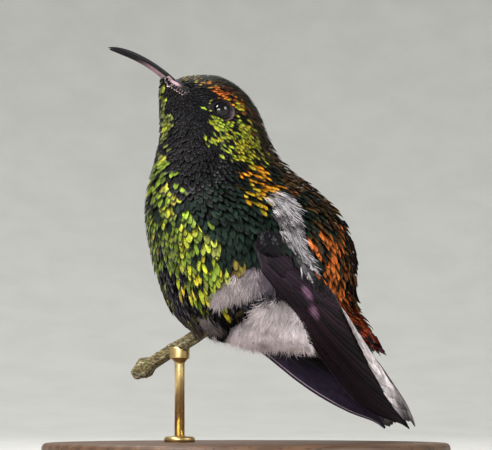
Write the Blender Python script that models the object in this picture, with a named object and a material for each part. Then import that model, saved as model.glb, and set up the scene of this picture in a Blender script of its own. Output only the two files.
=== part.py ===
"""A male coppery-headed emerald, a small hummingbird, perched on a short cut twig.

The twig is held over a flat round base by one short rod.  Everything is at life size in
metres.  The origin is at the middle of the base's underside, +Z is up, the bird faces -Y
and its left side is +X.  Lengths below are in millimetres and are scaled by MM at the end.
"""
import math

import bpy
import numpy as np

MM = 0.001
GAP = 0.3                      # the thin cut between touching pieces

# ---------------------------------------------------------------- driving dimensions
# Body stations from the bill's root to the tail's root.  Each row is the throat side
# (y, z), the crown or back side (y, z) and the half width of one oval section.
BODY_STATIONS = np.array([
    # throat side     back side       half width
    (-14.5, 56.4, -12.0, 57.0, 1.25),     # bill root
    (-14.5, 54.8, -10.2, 57.6, 2.50),     # lores
    (-14.3, 53.0, -8.0, 57.9, 3.75),      # forehead
    (-14.1, 51.2, -5.5, 57.9, 4.80),      # crown
    (-14.0, 49.5, -2.9, 57.0, 5.40),      # behind the eye
    (-14.2, 47.8, -0.2, 55.1, 5.75),      # back of the head
    (-14.7, 46.0, 1.8, 52.3, 6.10),       # nape
    (-15.2, 44.0, 3.0, 49.3, 6.80),       # neck
    (-15.7, 41.8, 4.4, 46.5, 8.00),       # foot of the neck
    (-15.9, 39.3, 7.0, 43.8, 9.80),       # shoulders
    (-15.7, 36.6, 10.6, 41.2, 11.5),      # breast
    (-15.1, 33.7, 14.0, 38.1, 12.6),      # widest breast
    (-14.3, 30.6, 15.9, 34.8, 12.9),      # flanks
    (-13.2, 27.6, 16.7, 31.4, 12.6),      # lower breast
    (-11.9, 24.7, 17.0, 28.5, 11.7),      # belly
    (-9.7, 22.0, 17.3, 26.3, 10.3),       # low belly
    (-6.2, 20.0, 18.0, 24.7, 8.6),        # between the legs
    (-0.6, 19.1, 19.0, 23.4, 7.0),        # vent
    (6.0, 18.6, 20.1, 22.3, 5.6),         # under tail coverts
    (12.0, 17.2, 21.4, 20.9, 4.6),        # upper tail coverts
    (16.6, 14.9, 22.3, 18.9, 3.8),        # coverts' tips
])
HEAD_END = 6.0                 # station at which each piece of the body stops
NECK_END = 8.6
TRUNK_END = 17.4
COVERTS_END = 20.0
PART_STEP = 0.24               # a GAP measured in stations
AROUND = 26                    # sides of an oval section
RINGS_PER_STATION = 1.5

BILL_ROOT = (-11.4, 55.3)      # middle of the bill's root, y and z, inside the feathers
BILL_LENGTH = 13.4             # along the curve, from that root to the tip
BILL_PITCH = (43.0, 6.0)       # rise of the bill at its root and at its tip, degrees
BILL_DEPTH = (1.26, 1.0)       # both halves together, at the root and where the tip begins
BILL_WIDTH = (1.5, 0.85)
BILL_TIP = 0.72                # share of the length where the tip begins to draw in
BILL_SPLIT = 0.54              # share of the depth that the upper half takes
BILL_SEAM = 0.16               # the slit between the two halves
BILL_BLUNT = 0.06              # how far the tip's ellipse stays open, so that it is not a point
LOWER_REACH = 0.97             # the lower half's length as a share of the upper's

EYE_CENTRE = (4.15, -7.05, 52.25)
EYE_RADIUS = 1.55

WING_LINE = ((-5.5, 32.6), (27.0, 5.7))    # y and z of the wing's bend and of its tip
WING_THICK = (1.5, 0.6)        # at the bend and beyond the share of the length where it is thin
WING_THINNED = 0.625
WING_CAMBER = 0.7              # how far the middle of the chord stands out from its edges
WING_FLATTER = 0.7             # how much of that is gone at the tip
# Share of the way from bend to tip; then how far out and how far below the line the
# leading edge lies; then how far out and how far above it the other edge lies.
WING_STATIONS = np.array([
    (0.00, 12.1, 1.30, 12.0, 1.60),
    (0.05, 12.7, 2.30, 12.5, 2.30),
    (0.14, 12.5, 2.65, 12.7, 2.50),
    (0.25, 11.5, 2.40, 12.4, 2.90),
    (0.36, 9.40, 2.35, 11.4, 3.05),
    (0.48, 6.30, 2.50, 9.20, 2.85),
    (0.60, 4.90, 2.65, 7.00, 2.70),
    (0.72, 4.20, 2.65, 5.60, 2.10),
    (0.84, 3.60, 2.35, 4.50, 1.40),
    (0.93, 3.35, 1.50, 4.00, 1.10),
    (1.00, 3.60, 0.25, 3.70, 0.50),
])
# Name, from and to which share of the wing's length, and rows of points.
WING_PARTS = (
    ("wing_coverts", 0.0, 0.27, 8),
    ("wing_secondaries", 0.278, 0.5, 9),
    ("wing_primaries", 0.508, 1.0, 21),
)
WING_ROOM_ROWS = 36
TIP_STEPS = 6                  # feather tips that step along the wing's upper edge
STEP_SPAN = (0.3, 0.97)        # the shares of the wing's length between which they do
STEP_DEPTH = 0.5

TAIL_ROOT = (21.6, 17.7)       # y and z where the tail leaves the coverts
TAIL_TIP = (28.9, 6.7)
# Share of the way from root to tip, then the half width of the folded tail.
TAIL_STATIONS = np.array([
    (0.0, 3.7),
    (0.35, 4.5),
    (0.65, 5.0),
    (0.85, 4.7),
    (1.0, 3.9),
])
TAIL_THICK = 0.7
TAIL_ARCH = 0.9                # how far the tail's sides fall below its middle
TAIL_NOTCH = 0.9               # how far the middle feathers stop short of the outer ones
TAIL_SCALLOP = 0.7             # depth of the notches between the rounded tips
# Name, then the side, from the left edge at -1 to the right edge at 1.
TAIL_PARTS = (
    ("tail_outer_left", 0.40, 1.0),
    ("tail_central", -0.34, 0.34),
    ("tail_outer_right", -1.0, -0.40),
)

TWIG_POINT = (-3.0, -5.2, 20.6)           # a point on the twig's middle line
TWIG_RISE = (1.0, 0.15, 0.386)            # the way it runs, up towards the bird's left
TWIG_SPAN = (-17.6, 9.6)                  # from that point to its cut ends
TWIG_RADIUS = 0.98
BUD_SPOT = -15.4               # the middle of the swell at the bud scar, along the twig
BUD_SWELL = 0.55
BUD_LENGTH = 1.3

TOE_RADIUS = 0.29
FOOT_SPOTS = (("foot_right", -0.4), ("foot_left", 6.2))   # along the twig from TWIG_POINT
TOE_SPREAD = 0.66              # between the front toes along the twig
# Each toe: its place along the twig in spreads, 1 for the front or -1 for the back, and how
# far round the twig it reaches in degrees.
TOES = ((-1, 1, 118), (0, 1, 132), (1, 1, 118), (0.2, -1, 112))
TOE_START = -14
SHANK_RADIUS = 0.42
SLOT_RADIUS = 2.15             # the hollow in the belly's feathers that the feet sit in
SLOT_SPAN = (-14.0, 10.4)      # along the twig from TWIG_POINT
SLOT_DROP = 9.0                # down through the belly's underside

THIGH_CENTRE = (5.6, 4.6, 22.2)
THIGH_RADII = (3.3, 6.4, 3.5)
THIGH_PITCH = -20.0

BASE_RADIUS = 30.0
BASE_HEIGHT = 4.0
BASE_BEVEL = 0.5               # at the underside
BASE_EDGE = 0.8                # at the top
ROD_RADIUS = 0.75
ROD_SPOT = -6.4                # along the twig from TWIG_POINT
CUP_RADIUS = 1.5
CUP_LIP = 1.5                  # height of the cup's straight wall
CUP_FLARE = 0.9                # height over which the rod widens into it
CUP_DROP = 0.2                 # the lip's depth below the twig's middle line
COLLAR_RADIUS = 2.3
COLLAR_HEIGHT = 1.0
COLLAR_WALL = 0.6
COLLAR_SLOPE = 0.5


# ---------------------------------------------------------------- materials and meshes
def paint(name, colour, roughness, metallic=0.0):
    """A plain Principled material."""
    material = bpy.data.materials.new(name)
    material.use_nodes = True
    shader = material.node_tree.nodes["Principled BSDF"]
    shader.inputs["Base Color"].default_value = (*colour, 1.0)
    shader.inputs["Roughness"].default_value = roughness
    shader.inputs["Metallic"].default_value = metallic
    return material


def add_mesh(name, points, faces, material):
    """A named object from points in millimetres."""
    mesh = bpy.data.meshes.new(name)
    mesh.from_pydata((np.asarray(points, dtype=float) * MM).tolist(), [], faces)
    mesh.validate()
    mesh.update()
    mesh.shade_smooth()
    if material is not None:
        mesh.materials.append(material)
    piece = bpy.data.objects.new(name, mesh)
    bpy.context.scene.collection.objects.link(piece)
    return piece


def loft(name, rings, material):
    """A closed skin over rings of equal count, with a flat cap on each end."""
    rings = np.asarray(rings, dtype=float)
    count, sides = rings.shape[:2]
    faces = []
    for i in range(count - 1):
        for j in range(sides):
            k = (j + 1) % sides
            faces.append((i * sides + j, i * sides + k, (i + 1) * sides + k, (i + 1) * sides + j))
    faces.append(tuple(range(sides))[::-1])
    faces.append(tuple((count - 1) * sides + j for j in range(sides)))
    points = rings.reshape(-1, 3)
    if signed_volume(points, faces) < 0:
        faces = [face[::-1] for face in faces]
    return add_mesh(name, points, faces, material)


def signed_volume(points, faces):
    """Positive when the faces point outwards."""
    total = 0.0
    for face in faces:
        first = points[face[0]]
        for a, b in zip(face[1:-1], face[2:]):
            total += float(np.dot(first, np.cross(points[a], points[b])))
    return total


def cut(piece, cutter):
    """Takes the cutter's volume out of the piece."""
    step = piece.modifiers.new("cut_" + cutter.name, "BOOLEAN")
    step.operation = "DIFFERENCE"
    step.solver = "EXACT"
    step.object = cutter


def join(piece, other):
    """Adds another closed shape to the piece."""
    step = piece.modifiers.new("join_" + other.name, "BOOLEAN")
    step.operation = "UNION"
    step.solver = "EXACT"
    step.object = other


def as_helper(piece):
    """Marks a shape that only cuts or joins."""
    piece.hide_render = True
    piece.display_type = "WIRE"
    return piece


# ---------------------------------------------------------------- curves
def through(table, t):
    """Catmull-Rom curve through the rows of a table, read at the row numbers t."""
    table = np.asarray(table, dtype=float)
    t = np.atleast_1d(np.asarray(t, dtype=float))
    row = np.clip(np.floor(t).astype(int), 0, len(table) - 2)
    part = (t - row)[:, None]
    before = table[np.maximum(row - 1, 0)]
    start = table[row]
    end = table[row + 1]
    after = table[np.minimum(row + 2, len(table) - 1)]
    return 0.5 * (2 * start + (end - before) * part
                  + (2 * before - 5 * start + 4 * end - after) * part ** 2
                  + (3 * start - before - 3 * end + after) * part ** 3)


def unit(vector):
    """The vector at length one."""
    vector = np.asarray(vector, dtype=float)
    return vector / np.linalg.norm(vector)


def frame_along(direction, up=(0.0, 0.0, 1.0)):
    """Two directions square to a path, the first as near to up as can be."""
    direction = unit(direction)
    high = np.asarray(up, dtype=float)
    high = unit(high - direction * np.dot(high, direction))
    return high, np.cross(direction, high)


def tube_rings(path, radii, sides, up=(0.0, 0.0, 1.0)):
    """Round rings square to a path of points."""
    path = np.asarray(path, dtype=float)
    radii = np.broadcast_to(radii, len(path))
    heading = np.gradient(path, axis=0)
    turn = np.linspace(0, 2 * math.pi, sides, endpoint=False)
    rings = []
    for point, ahead, radius in zip(path, heading, radii):
        high, side = frame_along(ahead, up)
        rings.append(point + radius * (np.outer(np.cos(turn), high) + np.outer(np.sin(turn), side)))
    return np.array(rings)


# ---------------------------------------------------------------- body
def body_rings(start, stop):
    """Oval sections of the body between two station numbers."""
    count = max(3, int(round((stop - start) * RINGS_PER_STATION)) + 1)
    rows = through(BODY_STATIONS, np.linspace(start, stop, count))
    turn = np.linspace(0, 2 * math.pi, AROUND, endpoint=False)
    rings = []
    for front_y, front_z, back_y, back_z, half in rows:
        middle = np.array([0.0, (front_y + back_y) / 2, (front_z + back_z) / 2])
        reach = np.array([0.0, back_y, back_z]) - middle
        side = np.array([half, 0.0, 0.0])
        rings.append(middle + np.outer(np.cos(turn), reach) + np.outer(np.sin(turn), side))
    return np.array(rings)


def ball(name, centre, radii, pitch, rows, sides, material):
    """An egg-shaped solid of rings between two poles, turned about X."""
    centre = np.asarray(centre, dtype=float)
    tilt = math.radians(pitch)
    turn = np.linspace(0, 2 * math.pi, sides, endpoint=False)
    points = [(0.0, -radii[1], 0.0)]
    for row in range(1, rows):
        angle = math.pi * row / rows
        y = -radii[1] * math.cos(angle)
        wide = math.sin(angle)
        for a in turn:
            points.append((radii[0] * wide * math.cos(a), y, radii[2] * wide * math.sin(a)))
    points.append((0.0, radii[1], 0.0))
    points = np.array(points)
    turned = points.copy()
    turned[:, 1] = points[:, 1] * math.cos(tilt) - points[:, 2] * math.sin(tilt)
    turned[:, 2] = points[:, 1] * math.sin(tilt) + points[:, 2] * math.cos(tilt)
    faces = []
    last = len(points) - 1
    for j in range(sides):
        k = (j + 1) % sides
        faces.append((0, 1 + k, 1 + j))
        faces.append((last, last - sides + j, last - sides + k))
        for row in range(rows - 2):
            a = 1 + row * sides
            faces.append((a + j, a + k, a + sides + k, a + sides + j))
    if signed_volume(turned, faces) < 0:
        faces = [face[::-1] for face in faces]
    return add_mesh(name, turned + centre, faces, material)


def mirrored(point, side):
    """A left-hand point, moved to the right when side is -1."""
    return (point[0] * side, point[1], point[2])


def make_body(paints):
    """Head, neck, trunk and tail coverts, parted by thin cuts."""
    spans = (
        ("head", 0.0, HEAD_END, "crown"),
        ("neck", HEAD_END + PART_STEP, NECK_END, "throat"),
        ("trunk", NECK_END + PART_STEP, TRUNK_END, "breast"),
        ("tail_coverts", TRUNK_END + PART_STEP, COVERTS_END, "coverts"),
    )
    pieces = {}
    for name, start, stop, slot in spans:
        pieces[name] = loft(name, body_rings(start, stop), paints[slot])
    return pieces


def make_eyes(head, paints):
    """Two eyeballs, each in a round socket of the head."""
    for name, side in (("eye_left", 1), ("eye_right", -1)):
        centre = mirrored(EYE_CENTRE, side)
        ball(name, centre, (EYE_RADIUS,) * 3, 0, 8, 12, paints["eye"])
        socket = ball("socket_" + name, centre, (EYE_RADIUS + GAP,) * 3, 0, 8, 14, None)
        cut(head, as_helper(socket))


def bill_line(share):
    """Middle line, slope, depth and width of the bill at shares of its length.

    The slope eases evenly from root to tip, and the tip draws in like an ellipse.
    """
    fine = np.linspace(0, 1, 201)
    slope = np.radians(BILL_PITCH[0] + (BILL_PITCH[1] - BILL_PITCH[0]) * fine)
    step = BILL_LENGTH / 200
    y = BILL_ROOT[0] - np.concatenate([[0], np.cumsum(np.cos(slope[1:]))]) * step
    z = BILL_ROOT[1] + np.concatenate([[0], np.cumsum(np.sin(slope[1:]))]) * step
    past = np.clip(share - BILL_TIP, 0, 1) / (1 - BILL_TIP)
    draw = np.sqrt(np.clip(1 - past ** 2, BILL_BLUNT, 1))
    across = np.zeros_like(share)
    middle = np.stack([across, np.interp(share, fine, y), np.interp(share, fine, z)], axis=1)
    depth = (BILL_DEPTH[0] + (BILL_DEPTH[1] - BILL_DEPTH[0]) * share) * draw
    width = (BILL_WIDTH[0] + (BILL_WIDTH[1] - BILL_WIDTH[0]) * share) * draw
    return middle, np.interp(share, fine, slope), depth, width


def make_bill(head, paints):
    """Upper and lower halves of the down-curved bill, and the room for their root.

    Each half is a half-oval section on its own side of the slit.
    """
    halves = (("bill_upper", 1, BILL_SPLIT, 1.0), ("bill_lower", -1, 1 - BILL_SPLIT, LOWER_REACH))
    for slot, sign, part, reach in halves:
        middle, slope, depth, width = bill_line(np.linspace(0, reach, 13))
        arc = np.linspace(0, math.pi, 8)
        high = np.stack([np.zeros_like(slope), np.sin(slope), np.cos(slope)], axis=1)
        tall = np.maximum(depth * part, BILL_SEAM)
        rise = BILL_SEAM / 2 + (tall[:, None] - BILL_SEAM / 2) * np.sin(arc)
        rings = middle[:, None, :] + high[:, None, :] * sign * rise[:, :, None]
        rings[:, :, 0] += width[:, None] / 2 * np.cos(arc)
        loft(slot, rings, paints[slot])
    middle, slope, depth, width = bill_line(np.linspace(0, 0.5, 9))
    turn = np.linspace(0, 2 * math.pi, 16, endpoint=False)
    high = np.stack([np.zeros_like(slope), np.sin(slope), np.cos(slope)], axis=1)
    ahead = np.stack([np.zeros_like(slope), -np.cos(slope), np.sin(slope)], axis=1)
    middle[0] -= ahead[0] * GAP
    rise = (depth / 2 + GAP)[:, None] * np.cos(turn)
    rings = middle[:, None, :] + high[:, None, :] * rise[:, :, None]
    rings[:, :, 0] += (width / 2 + GAP)[:, None] * np.sin(turn)
    cut(head, as_helper(loft("room_bill", rings, None)))


# ---------------------------------------------------------------- wings and tail
def blade(name, middle, normal, thick, material):
    """A thin closed plate over a grid of middle points.

    The plate is as thick as asked along its middle and half that at its rim.
    """
    rows, columns = middle.shape[:2]
    across = np.linspace(-1, 1, columns)
    lens = 0.5 + 0.5 * np.sqrt(np.clip(1 - across ** 2, 0, 1))
    half = thick[:, None, None] * lens[None, :, None] / 2
    top = middle + normal * half
    under = middle - normal * half
    rings = np.concatenate([top, under[:, ::-1]], axis=1)
    return loft(name, rings, material)


def wing_grid(side, start, stop, rows, columns=7, grow=0.0):
    """Middle points and normals of the folded wing between two shares of its length.

    Each row runs from the leading edge to the other edge, bowed a little outwards.
    The other edge is stepped where the feather tips end.
    """
    bend, tip = np.array(WING_LINE)
    ahead = unit(tip - bend)
    upward = np.array([-ahead[1], ahead[0]])
    s = np.linspace(start, stop, rows)
    index = np.interp(s, WING_STATIONS[:, 0], np.arange(len(WING_STATIONS)))
    _, out_low, down, out_high, up = through(WING_STATIONS, index).T
    down, up = down + grow, up + grow
    first, last = STEP_SPAN
    tooth = (s - first) / (last - first) * TIP_STEPS
    up = up + np.where((s > first) & (s < last), STEP_DEPTH * (0.5 - tooth + np.floor(tooth)), 0)
    c = np.linspace(0, 1, columns)
    x = out_low[:, None] + (out_high - out_low)[:, None] * c
    offset = -down[:, None] + (down + up)[:, None] * c
    plane = bend + (tip - bend) * s[:, None, None] + upward * offset[:, :, None]
    middle = np.concatenate([x[:, :, None], plane], axis=2)
    normal = np.cross(np.gradient(middle, axis=0), np.gradient(middle, axis=1))
    normal /= np.linalg.norm(normal, axis=2, keepdims=True)
    normal *= np.where(normal[..., :1] < 0, -1, 1)
    bow = WING_CAMBER * (1 - (2 * c - 1) ** 2) * (1 - WING_FLATTER * s[:, None])
    middle = middle + normal * bow[:, :, None]
    mirror = np.array([side, 1, 1])
    thick = np.interp(s, (0, WING_THINNED), WING_THICK)
    return middle * mirror, normal * mirror, thick


def make_wings(neighbours, paints):
    """Both folded wings in three lengths, with room for them cut into the body."""
    for label, side in (("left", 1), ("right", -1)):
        for part, start, stop, rows in WING_PARTS:
            middle, normal, thick = wing_grid(side, start, stop, rows)
            blade(part + "_" + label, middle, normal, thick, paints["wing"])
        middle, normal, thick = wing_grid(side, -0.02, 1.02, WING_ROOM_ROWS, grow=2 * GAP)
        room = as_helper(blade("room_wing_" + label, middle, normal, thick + 3 * GAP, None))
        for neighbour in neighbours:
            cut(neighbour, room)


def make_tail(paints):
    """The folded tail as a shallow arched fan in three parts.

    Each part runs from the coverts to rounded feather tips.  The fan widens and then
    draws in, and its middle feathers are a little shorter than the outer ones.
    """
    root = np.array([0.0, *TAIL_ROOT])
    line = np.array([0.0, *TAIL_TIP]) - root
    raised = unit(np.array([0.0, -line[2], line[1]]))
    s = np.linspace(0, 1, 10)
    index = np.interp(s, TAIL_STATIONS[:, 0], np.arange(len(TAIL_STATIONS)))
    half = through(TAIL_STATIONS, index)[:, 1]
    thick = np.linspace(TAIL_THICK * 1.3, TAIL_THICK, len(s))
    for name, low, high in TAIL_PARTS:
        slot = "tail_central" if name == "tail_central" else "tail_outer"
        side = np.linspace(low, high, 9)
        lobes = 2 if slot == "tail_central" else 3
        scallop = 1 - np.abs(np.sin(np.linspace(0, math.pi * lobes, len(side))))
        short = TAIL_NOTCH * (1 - np.abs(side)) + TAIL_SCALLOP * scallop
        along = s[:, None] * (1 - short / np.linalg.norm(line))[None, :]
        drop = TAIL_ARCH * side ** 2
        middle = root + line * along[:, :, None] - raised * drop[None, :, None]
        middle[..., 0] = half[:, None] * side
        blade(name, middle, np.broadcast_to(raised, middle.shape), thick, paints[slot])


# ---------------------------------------------------------------- legs, feet and perch
def twig_at(distance):
    """A point on the twig's middle line."""
    return np.array(TWIG_POINT) + unit(TWIG_RISE) * distance


def make_perch(paints):
    """A short cut twig with a slight swell at a bud scar near its lower end."""
    along = np.linspace(TWIG_SPAN[0], TWIG_SPAN[1], 16)
    bud = 1 + BUD_SWELL * np.exp(-((along - BUD_SPOT) / BUD_LENGTH) ** 2)
    path = np.array([twig_at(d) for d in along])
    return loft("perch", tube_rings(path, TWIG_RADIUS * bud, 12), paints["twig"])


def make_belly_slot(trunk):
    """Opens the belly's feathers round the twig and the feet, down through the underside."""
    high, side = frame_along(TWIG_RISE)
    arc = np.linspace(0, math.pi, 9)
    profile = [(SLOT_RADIUS * math.cos(a), SLOT_RADIUS * math.sin(a)) for a in arc]
    profile += [(-SLOT_RADIUS, -SLOT_DROP), (SLOT_RADIUS, -SLOT_DROP)]
    rings = []
    for distance in SLOT_SPAN:
        middle = twig_at(distance)
        rings.append([middle + side * a + high * b for a, b in profile])
    cut(trunk, as_helper(loft("slot_belly", rings, None)))


def make_feet(paints):
    """Each foot: a short shank, three toes over the front of the twig and one behind."""
    high, side = frame_along(TWIG_RISE)
    forward = side if side[1] < 0 else -side
    along = unit(TWIG_RISE)
    ring = TWIG_RADIUS + GAP + TOE_RADIUS
    for name, spot in FOOT_SPOTS:
        centre = twig_at(spot)
        crown = centre + high * ring
        shank = tube_rings([crown - high * 0.05, crown + high * 0.5], SHANK_RADIUS, 8, up=tuple(along))
        foot = loft(name, shank, paints["foot"])
        for number, (shift, way, reach) in enumerate(TOES):
            angle = np.radians(np.linspace(TOE_START, reach, 7))
            slide = shift * TOE_SPREAD * np.clip(np.linspace(0, 2.2, 7), 0, 1)
            path = centre + ring * np.outer(np.cos(angle), high) + np.outer(slide, along)
            path += ring * way * np.outer(np.sin(angle), forward)
            radii = TOE_RADIUS * np.interp(np.linspace(0, 1, 7), (0, 0.7, 1), (1.05, 0.95, 0.5))
            toe = loft(f"toe_{number}_{name}", tube_rings(path, radii, 6, up=tuple(along)), None)
            join(foot, as_helper(toe))


def make_thighs(neighbours, paints):
    """Loose feather puffs over the legs, with room cut for them in the body."""
    thighs = []
    for name, side in (("thigh_left", 1), ("thigh_right", -1)):
        centre = mirrored(THIGH_CENTRE, side)
        thighs.append(ball(name, centre, THIGH_RADII, THIGH_PITCH, 10, 16, paints["puff"]))
        room = ball("room_" + name, centre, [r + GAP for r in THIGH_RADII], THIGH_PITCH, 10, 16, None)
        as_helper(room)
        for neighbour in neighbours:
            cut(neighbour, room)
    return thighs


# ---------------------------------------------------------------- stand
def turned(name, centre, profile, sides, material):
    """A lathe-turned solid from (radius, height) pairs going up."""
    turn = np.linspace(0, 2 * math.pi, sides, endpoint=False)
    circle = np.stack([np.cos(turn), np.sin(turn), np.zeros(sides)], axis=1)
    rings = [np.array([centre[0], centre[1], z]) + circle * radius for radius, z in profile]
    return loft(name, rings, material)


def make_stand(paints):
    """A flat round base, a collar, and a rod whose cup holds the twig."""
    profile = ((BASE_RADIUS - BASE_BEVEL, 0), (BASE_RADIUS, BASE_BEVEL),
               (BASE_RADIUS, BASE_HEIGHT - BASE_EDGE), (BASE_RADIUS - BASE_EDGE, BASE_HEIGHT))
    turned("stand_base", (0, 0), profile, 56, paints["base"])
    spot = twig_at(ROD_SPOT)
    foot = BASE_HEIGHT + GAP
    top = spot[2] - CUP_DROP
    profile = ((ROD_RADIUS, foot), (ROD_RADIUS, top - CUP_LIP - CUP_FLARE), (CUP_RADIUS, top - CUP_LIP),
               (CUP_RADIUS, top))
    rod = turned("stand_rod", spot, profile, 20, paints["metal"])
    room = tube_rings([twig_at(ROD_SPOT - 6), twig_at(ROD_SPOT + 6)], TWIG_RADIUS + GAP, 20)
    cut(rod, as_helper(loft("room_twig", room, None)))
    profile = ((COLLAR_RADIUS, foot), (COLLAR_RADIUS, foot + COLLAR_WALL),
               (COLLAR_RADIUS - COLLAR_SLOPE, foot + COLLAR_HEIGHT))
    collar = turned("stand_collar", spot, profile, 28, paints["metal"])
    profile = ((ROD_RADIUS + GAP, foot - GAP), (ROD_RADIUS + GAP, foot + 2 * COLLAR_HEIGHT))
    cut(collar, as_helper(turned("bore_collar", spot, profile, 20, None)))


def main():
    """Clears the scene and builds the bird, its perch and its stand."""
    for old in list(bpy.data.objects):
        bpy.data.objects.remove(old, do_unlink=True)
    paints = {
        "crown": paint("crown_feathers", (0.05, 0.06, 0.02), 0.5, 0.3),
        "throat": paint("throat_feathers", (0.02, 0.03, 0.03), 0.5, 0.3),
        "breast": paint("breast_feathers", (0.15, 0.22, 0.03), 0.45, 0.4),
        "coverts": paint("covert_feathers", (0.35, 0.12, 0.04), 0.5, 0.3),
        "puff": paint("downy_feathers", (0.62, 0.57, 0.57), 0.9),
        "eye": paint("eye_ball", (0.01, 0.008, 0.008), 0.08),
        "bill_upper": paint("bill_upper_horn", (0.02, 0.02, 0.022), 0.35),
        "bill_lower": paint("bill_lower_horn", (0.28, 0.17, 0.18), 0.4),
        "wing": paint("flight_feathers", (0.035, 0.025, 0.035), 0.5),
        "tail_central": paint("middle_tail_feathers", (0.08, 0.03, 0.03), 0.45, 0.3),
        "tail_outer": paint("outer_tail_feathers", (0.7, 0.66, 0.66), 0.6),
        "foot": paint("foot_scales", (0.05, 0.035, 0.03), 0.6),
        "twig": paint("twig_bark", (0.2, 0.17, 0.09), 0.85),
        "base": paint("base_wood", (0.09, 0.05, 0.03), 0.4),
        "metal": paint("rod_brass", (0.55, 0.42, 0.2), 0.35, 1.0),
    }
    pieces = make_body(paints)
    make_eyes(pieces["head"], paints)
    make_bill(pieces["head"], paints)
    rear = [pieces["trunk"], pieces["tail_coverts"]]
    thighs = make_thighs(rear, paints)
    make_wings(rear + thighs, paints)
    make_tail(paints)
    make_perch(paints)
    make_belly_slot(pieces["trunk"])
    make_feet(paints)
    make_stand(paints)


main()
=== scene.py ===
"""The looks of a life-size model of a male coppery-headed emerald, a small hummingbird.

The bird perches, fluffed up, on a short cut twig over a round display base.  One skin lies
under a coat of shingled feathers, with downy puffs at the flanks, thighs and vent, and the
wings and tail are made feather by feather.  Lengths are in millimetres until a mesh is made.
The bird faces -Y, its left side is +X and +Z is up.
"""
import math

import bpy
import numpy as np
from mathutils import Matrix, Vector


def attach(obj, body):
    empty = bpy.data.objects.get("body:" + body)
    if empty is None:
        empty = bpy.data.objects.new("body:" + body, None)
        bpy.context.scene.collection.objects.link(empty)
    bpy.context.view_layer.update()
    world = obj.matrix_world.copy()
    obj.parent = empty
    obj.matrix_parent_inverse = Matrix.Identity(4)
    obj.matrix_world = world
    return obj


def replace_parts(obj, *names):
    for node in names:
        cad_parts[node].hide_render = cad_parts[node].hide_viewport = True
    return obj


MM = 0.001
FULL_TURN = 2 * math.pi
SIDES = (("left", 1), ("right", -1))
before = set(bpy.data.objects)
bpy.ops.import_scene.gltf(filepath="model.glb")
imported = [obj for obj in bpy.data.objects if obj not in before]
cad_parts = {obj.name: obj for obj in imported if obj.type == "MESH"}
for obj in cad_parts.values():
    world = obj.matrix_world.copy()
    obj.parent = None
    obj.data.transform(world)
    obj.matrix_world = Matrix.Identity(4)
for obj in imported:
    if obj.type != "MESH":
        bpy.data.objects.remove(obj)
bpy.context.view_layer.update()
rng = np.random.default_rng(11)

# ---------------------------------------------------------------- driving dimensions
# The body's ovals from the bill's root to the tail's root: throat side (y, z), back side
# (y, z) and half width.
BODY_STATIONS = np.array([
    (-14.5, 56.4, -12.0, 57.0, 1.25),     # bill root
    (-14.5, 54.8, -10.2, 57.6, 2.50),     # lores
    (-14.3, 53.0, -8.0, 57.9, 3.75),      # forehead
    (-14.1, 51.2, -5.5, 57.9, 4.80),      # crown
    (-14.0, 49.5, -2.9, 57.0, 5.40),      # behind the eye
    (-14.2, 47.8, -0.2, 55.1, 5.75),      # back of the head
    (-14.7, 46.0, 1.8, 52.3, 6.10),       # nape
    (-15.2, 44.0, 3.0, 49.3, 6.80),       # neck
    (-15.7, 41.8, 4.4, 46.5, 8.00),       # foot of the neck
    (-15.9, 39.3, 7.0, 43.8, 9.80),       # shoulders
    (-15.7, 36.6, 10.6, 41.2, 11.5),      # breast
    (-15.1, 33.7, 14.0, 38.1, 12.6),      # widest breast
    (-14.3, 30.6, 15.9, 34.8, 12.9),      # flanks
    (-13.2, 27.6, 16.7, 31.4, 12.6),      # lower breast
    (-11.9, 24.7, 17.0, 28.5, 11.7),      # belly
    (-9.7, 22.0, 17.3, 26.3, 10.3),       # low belly
    (-6.2, 20.0, 18.0, 24.7, 8.6),        # between the legs
    (-0.6, 19.1, 19.0, 23.4, 7.0),        # vent
    (6.0, 18.6, 20.1, 22.3, 5.6),         # under tail coverts
    (12.0, 17.2, 21.4, 20.9, 4.6),        # upper tail coverts
    (16.6, 14.9, 22.3, 18.9, 3.8),        # coverts' tips
])
LAST_STATION = 20.0
FIRST_STATION = -0.9                       # inside the dome round the bill
DOME_DEPTH = 1.6
DOME_WAY = (0.0, -0.73, 0.68)

BILL_ROOT = (-11.4, 55.3)
BILL_LENGTH = 13.4
BILL_PITCH = (43.0, 6.0)
BILL_DEPTH = (1.26, 1.0)
BILL_WIDTH = (1.5, 0.85)
BILL_TIP = 0.72                            # share of the length where it starts to draw in
BILL_SPLIT = 0.54
BILL_SEAM = 0.10
GAPE_OPEN = 24.0                           # half width of the bare wedge at the bill, in degrees
GAPE_LENGTH = 1.9                          # its length, in stations

EYE_CENTRE = np.array([4.15, -7.05, 52.25])
EYE_RADIUS = 1.55
EYE_WAY = np.array([0.95, -0.28, 0.10])    # the way the left eye looks
EYE_FRONT = np.array([0.0, -0.93, 0.37])   # roughly the way from the eye to the bill
SOCKET_DEPTH = 0.9
LID_OPEN = (50.0, 43.0)                    # half angles of the lids' opening, along and across
LID_REACH = (2.15, 1.50)                   # half length and half height of the bare ring
LID_ROOT = 0.35                            # how deep behind the eye's middle the lids end

WING_LINE = np.array([(-5.5, 32.6), (27.0, 5.7)])
WING_THICK = (1.5, 0.6)
WING_BED = 0.35                            # extra room under the wing's long feathers
WING_CAMBER = 0.7
WING_EDGE_SLOPE = 2.2                      # how fast plumage widens again off the wing's edge
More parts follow.
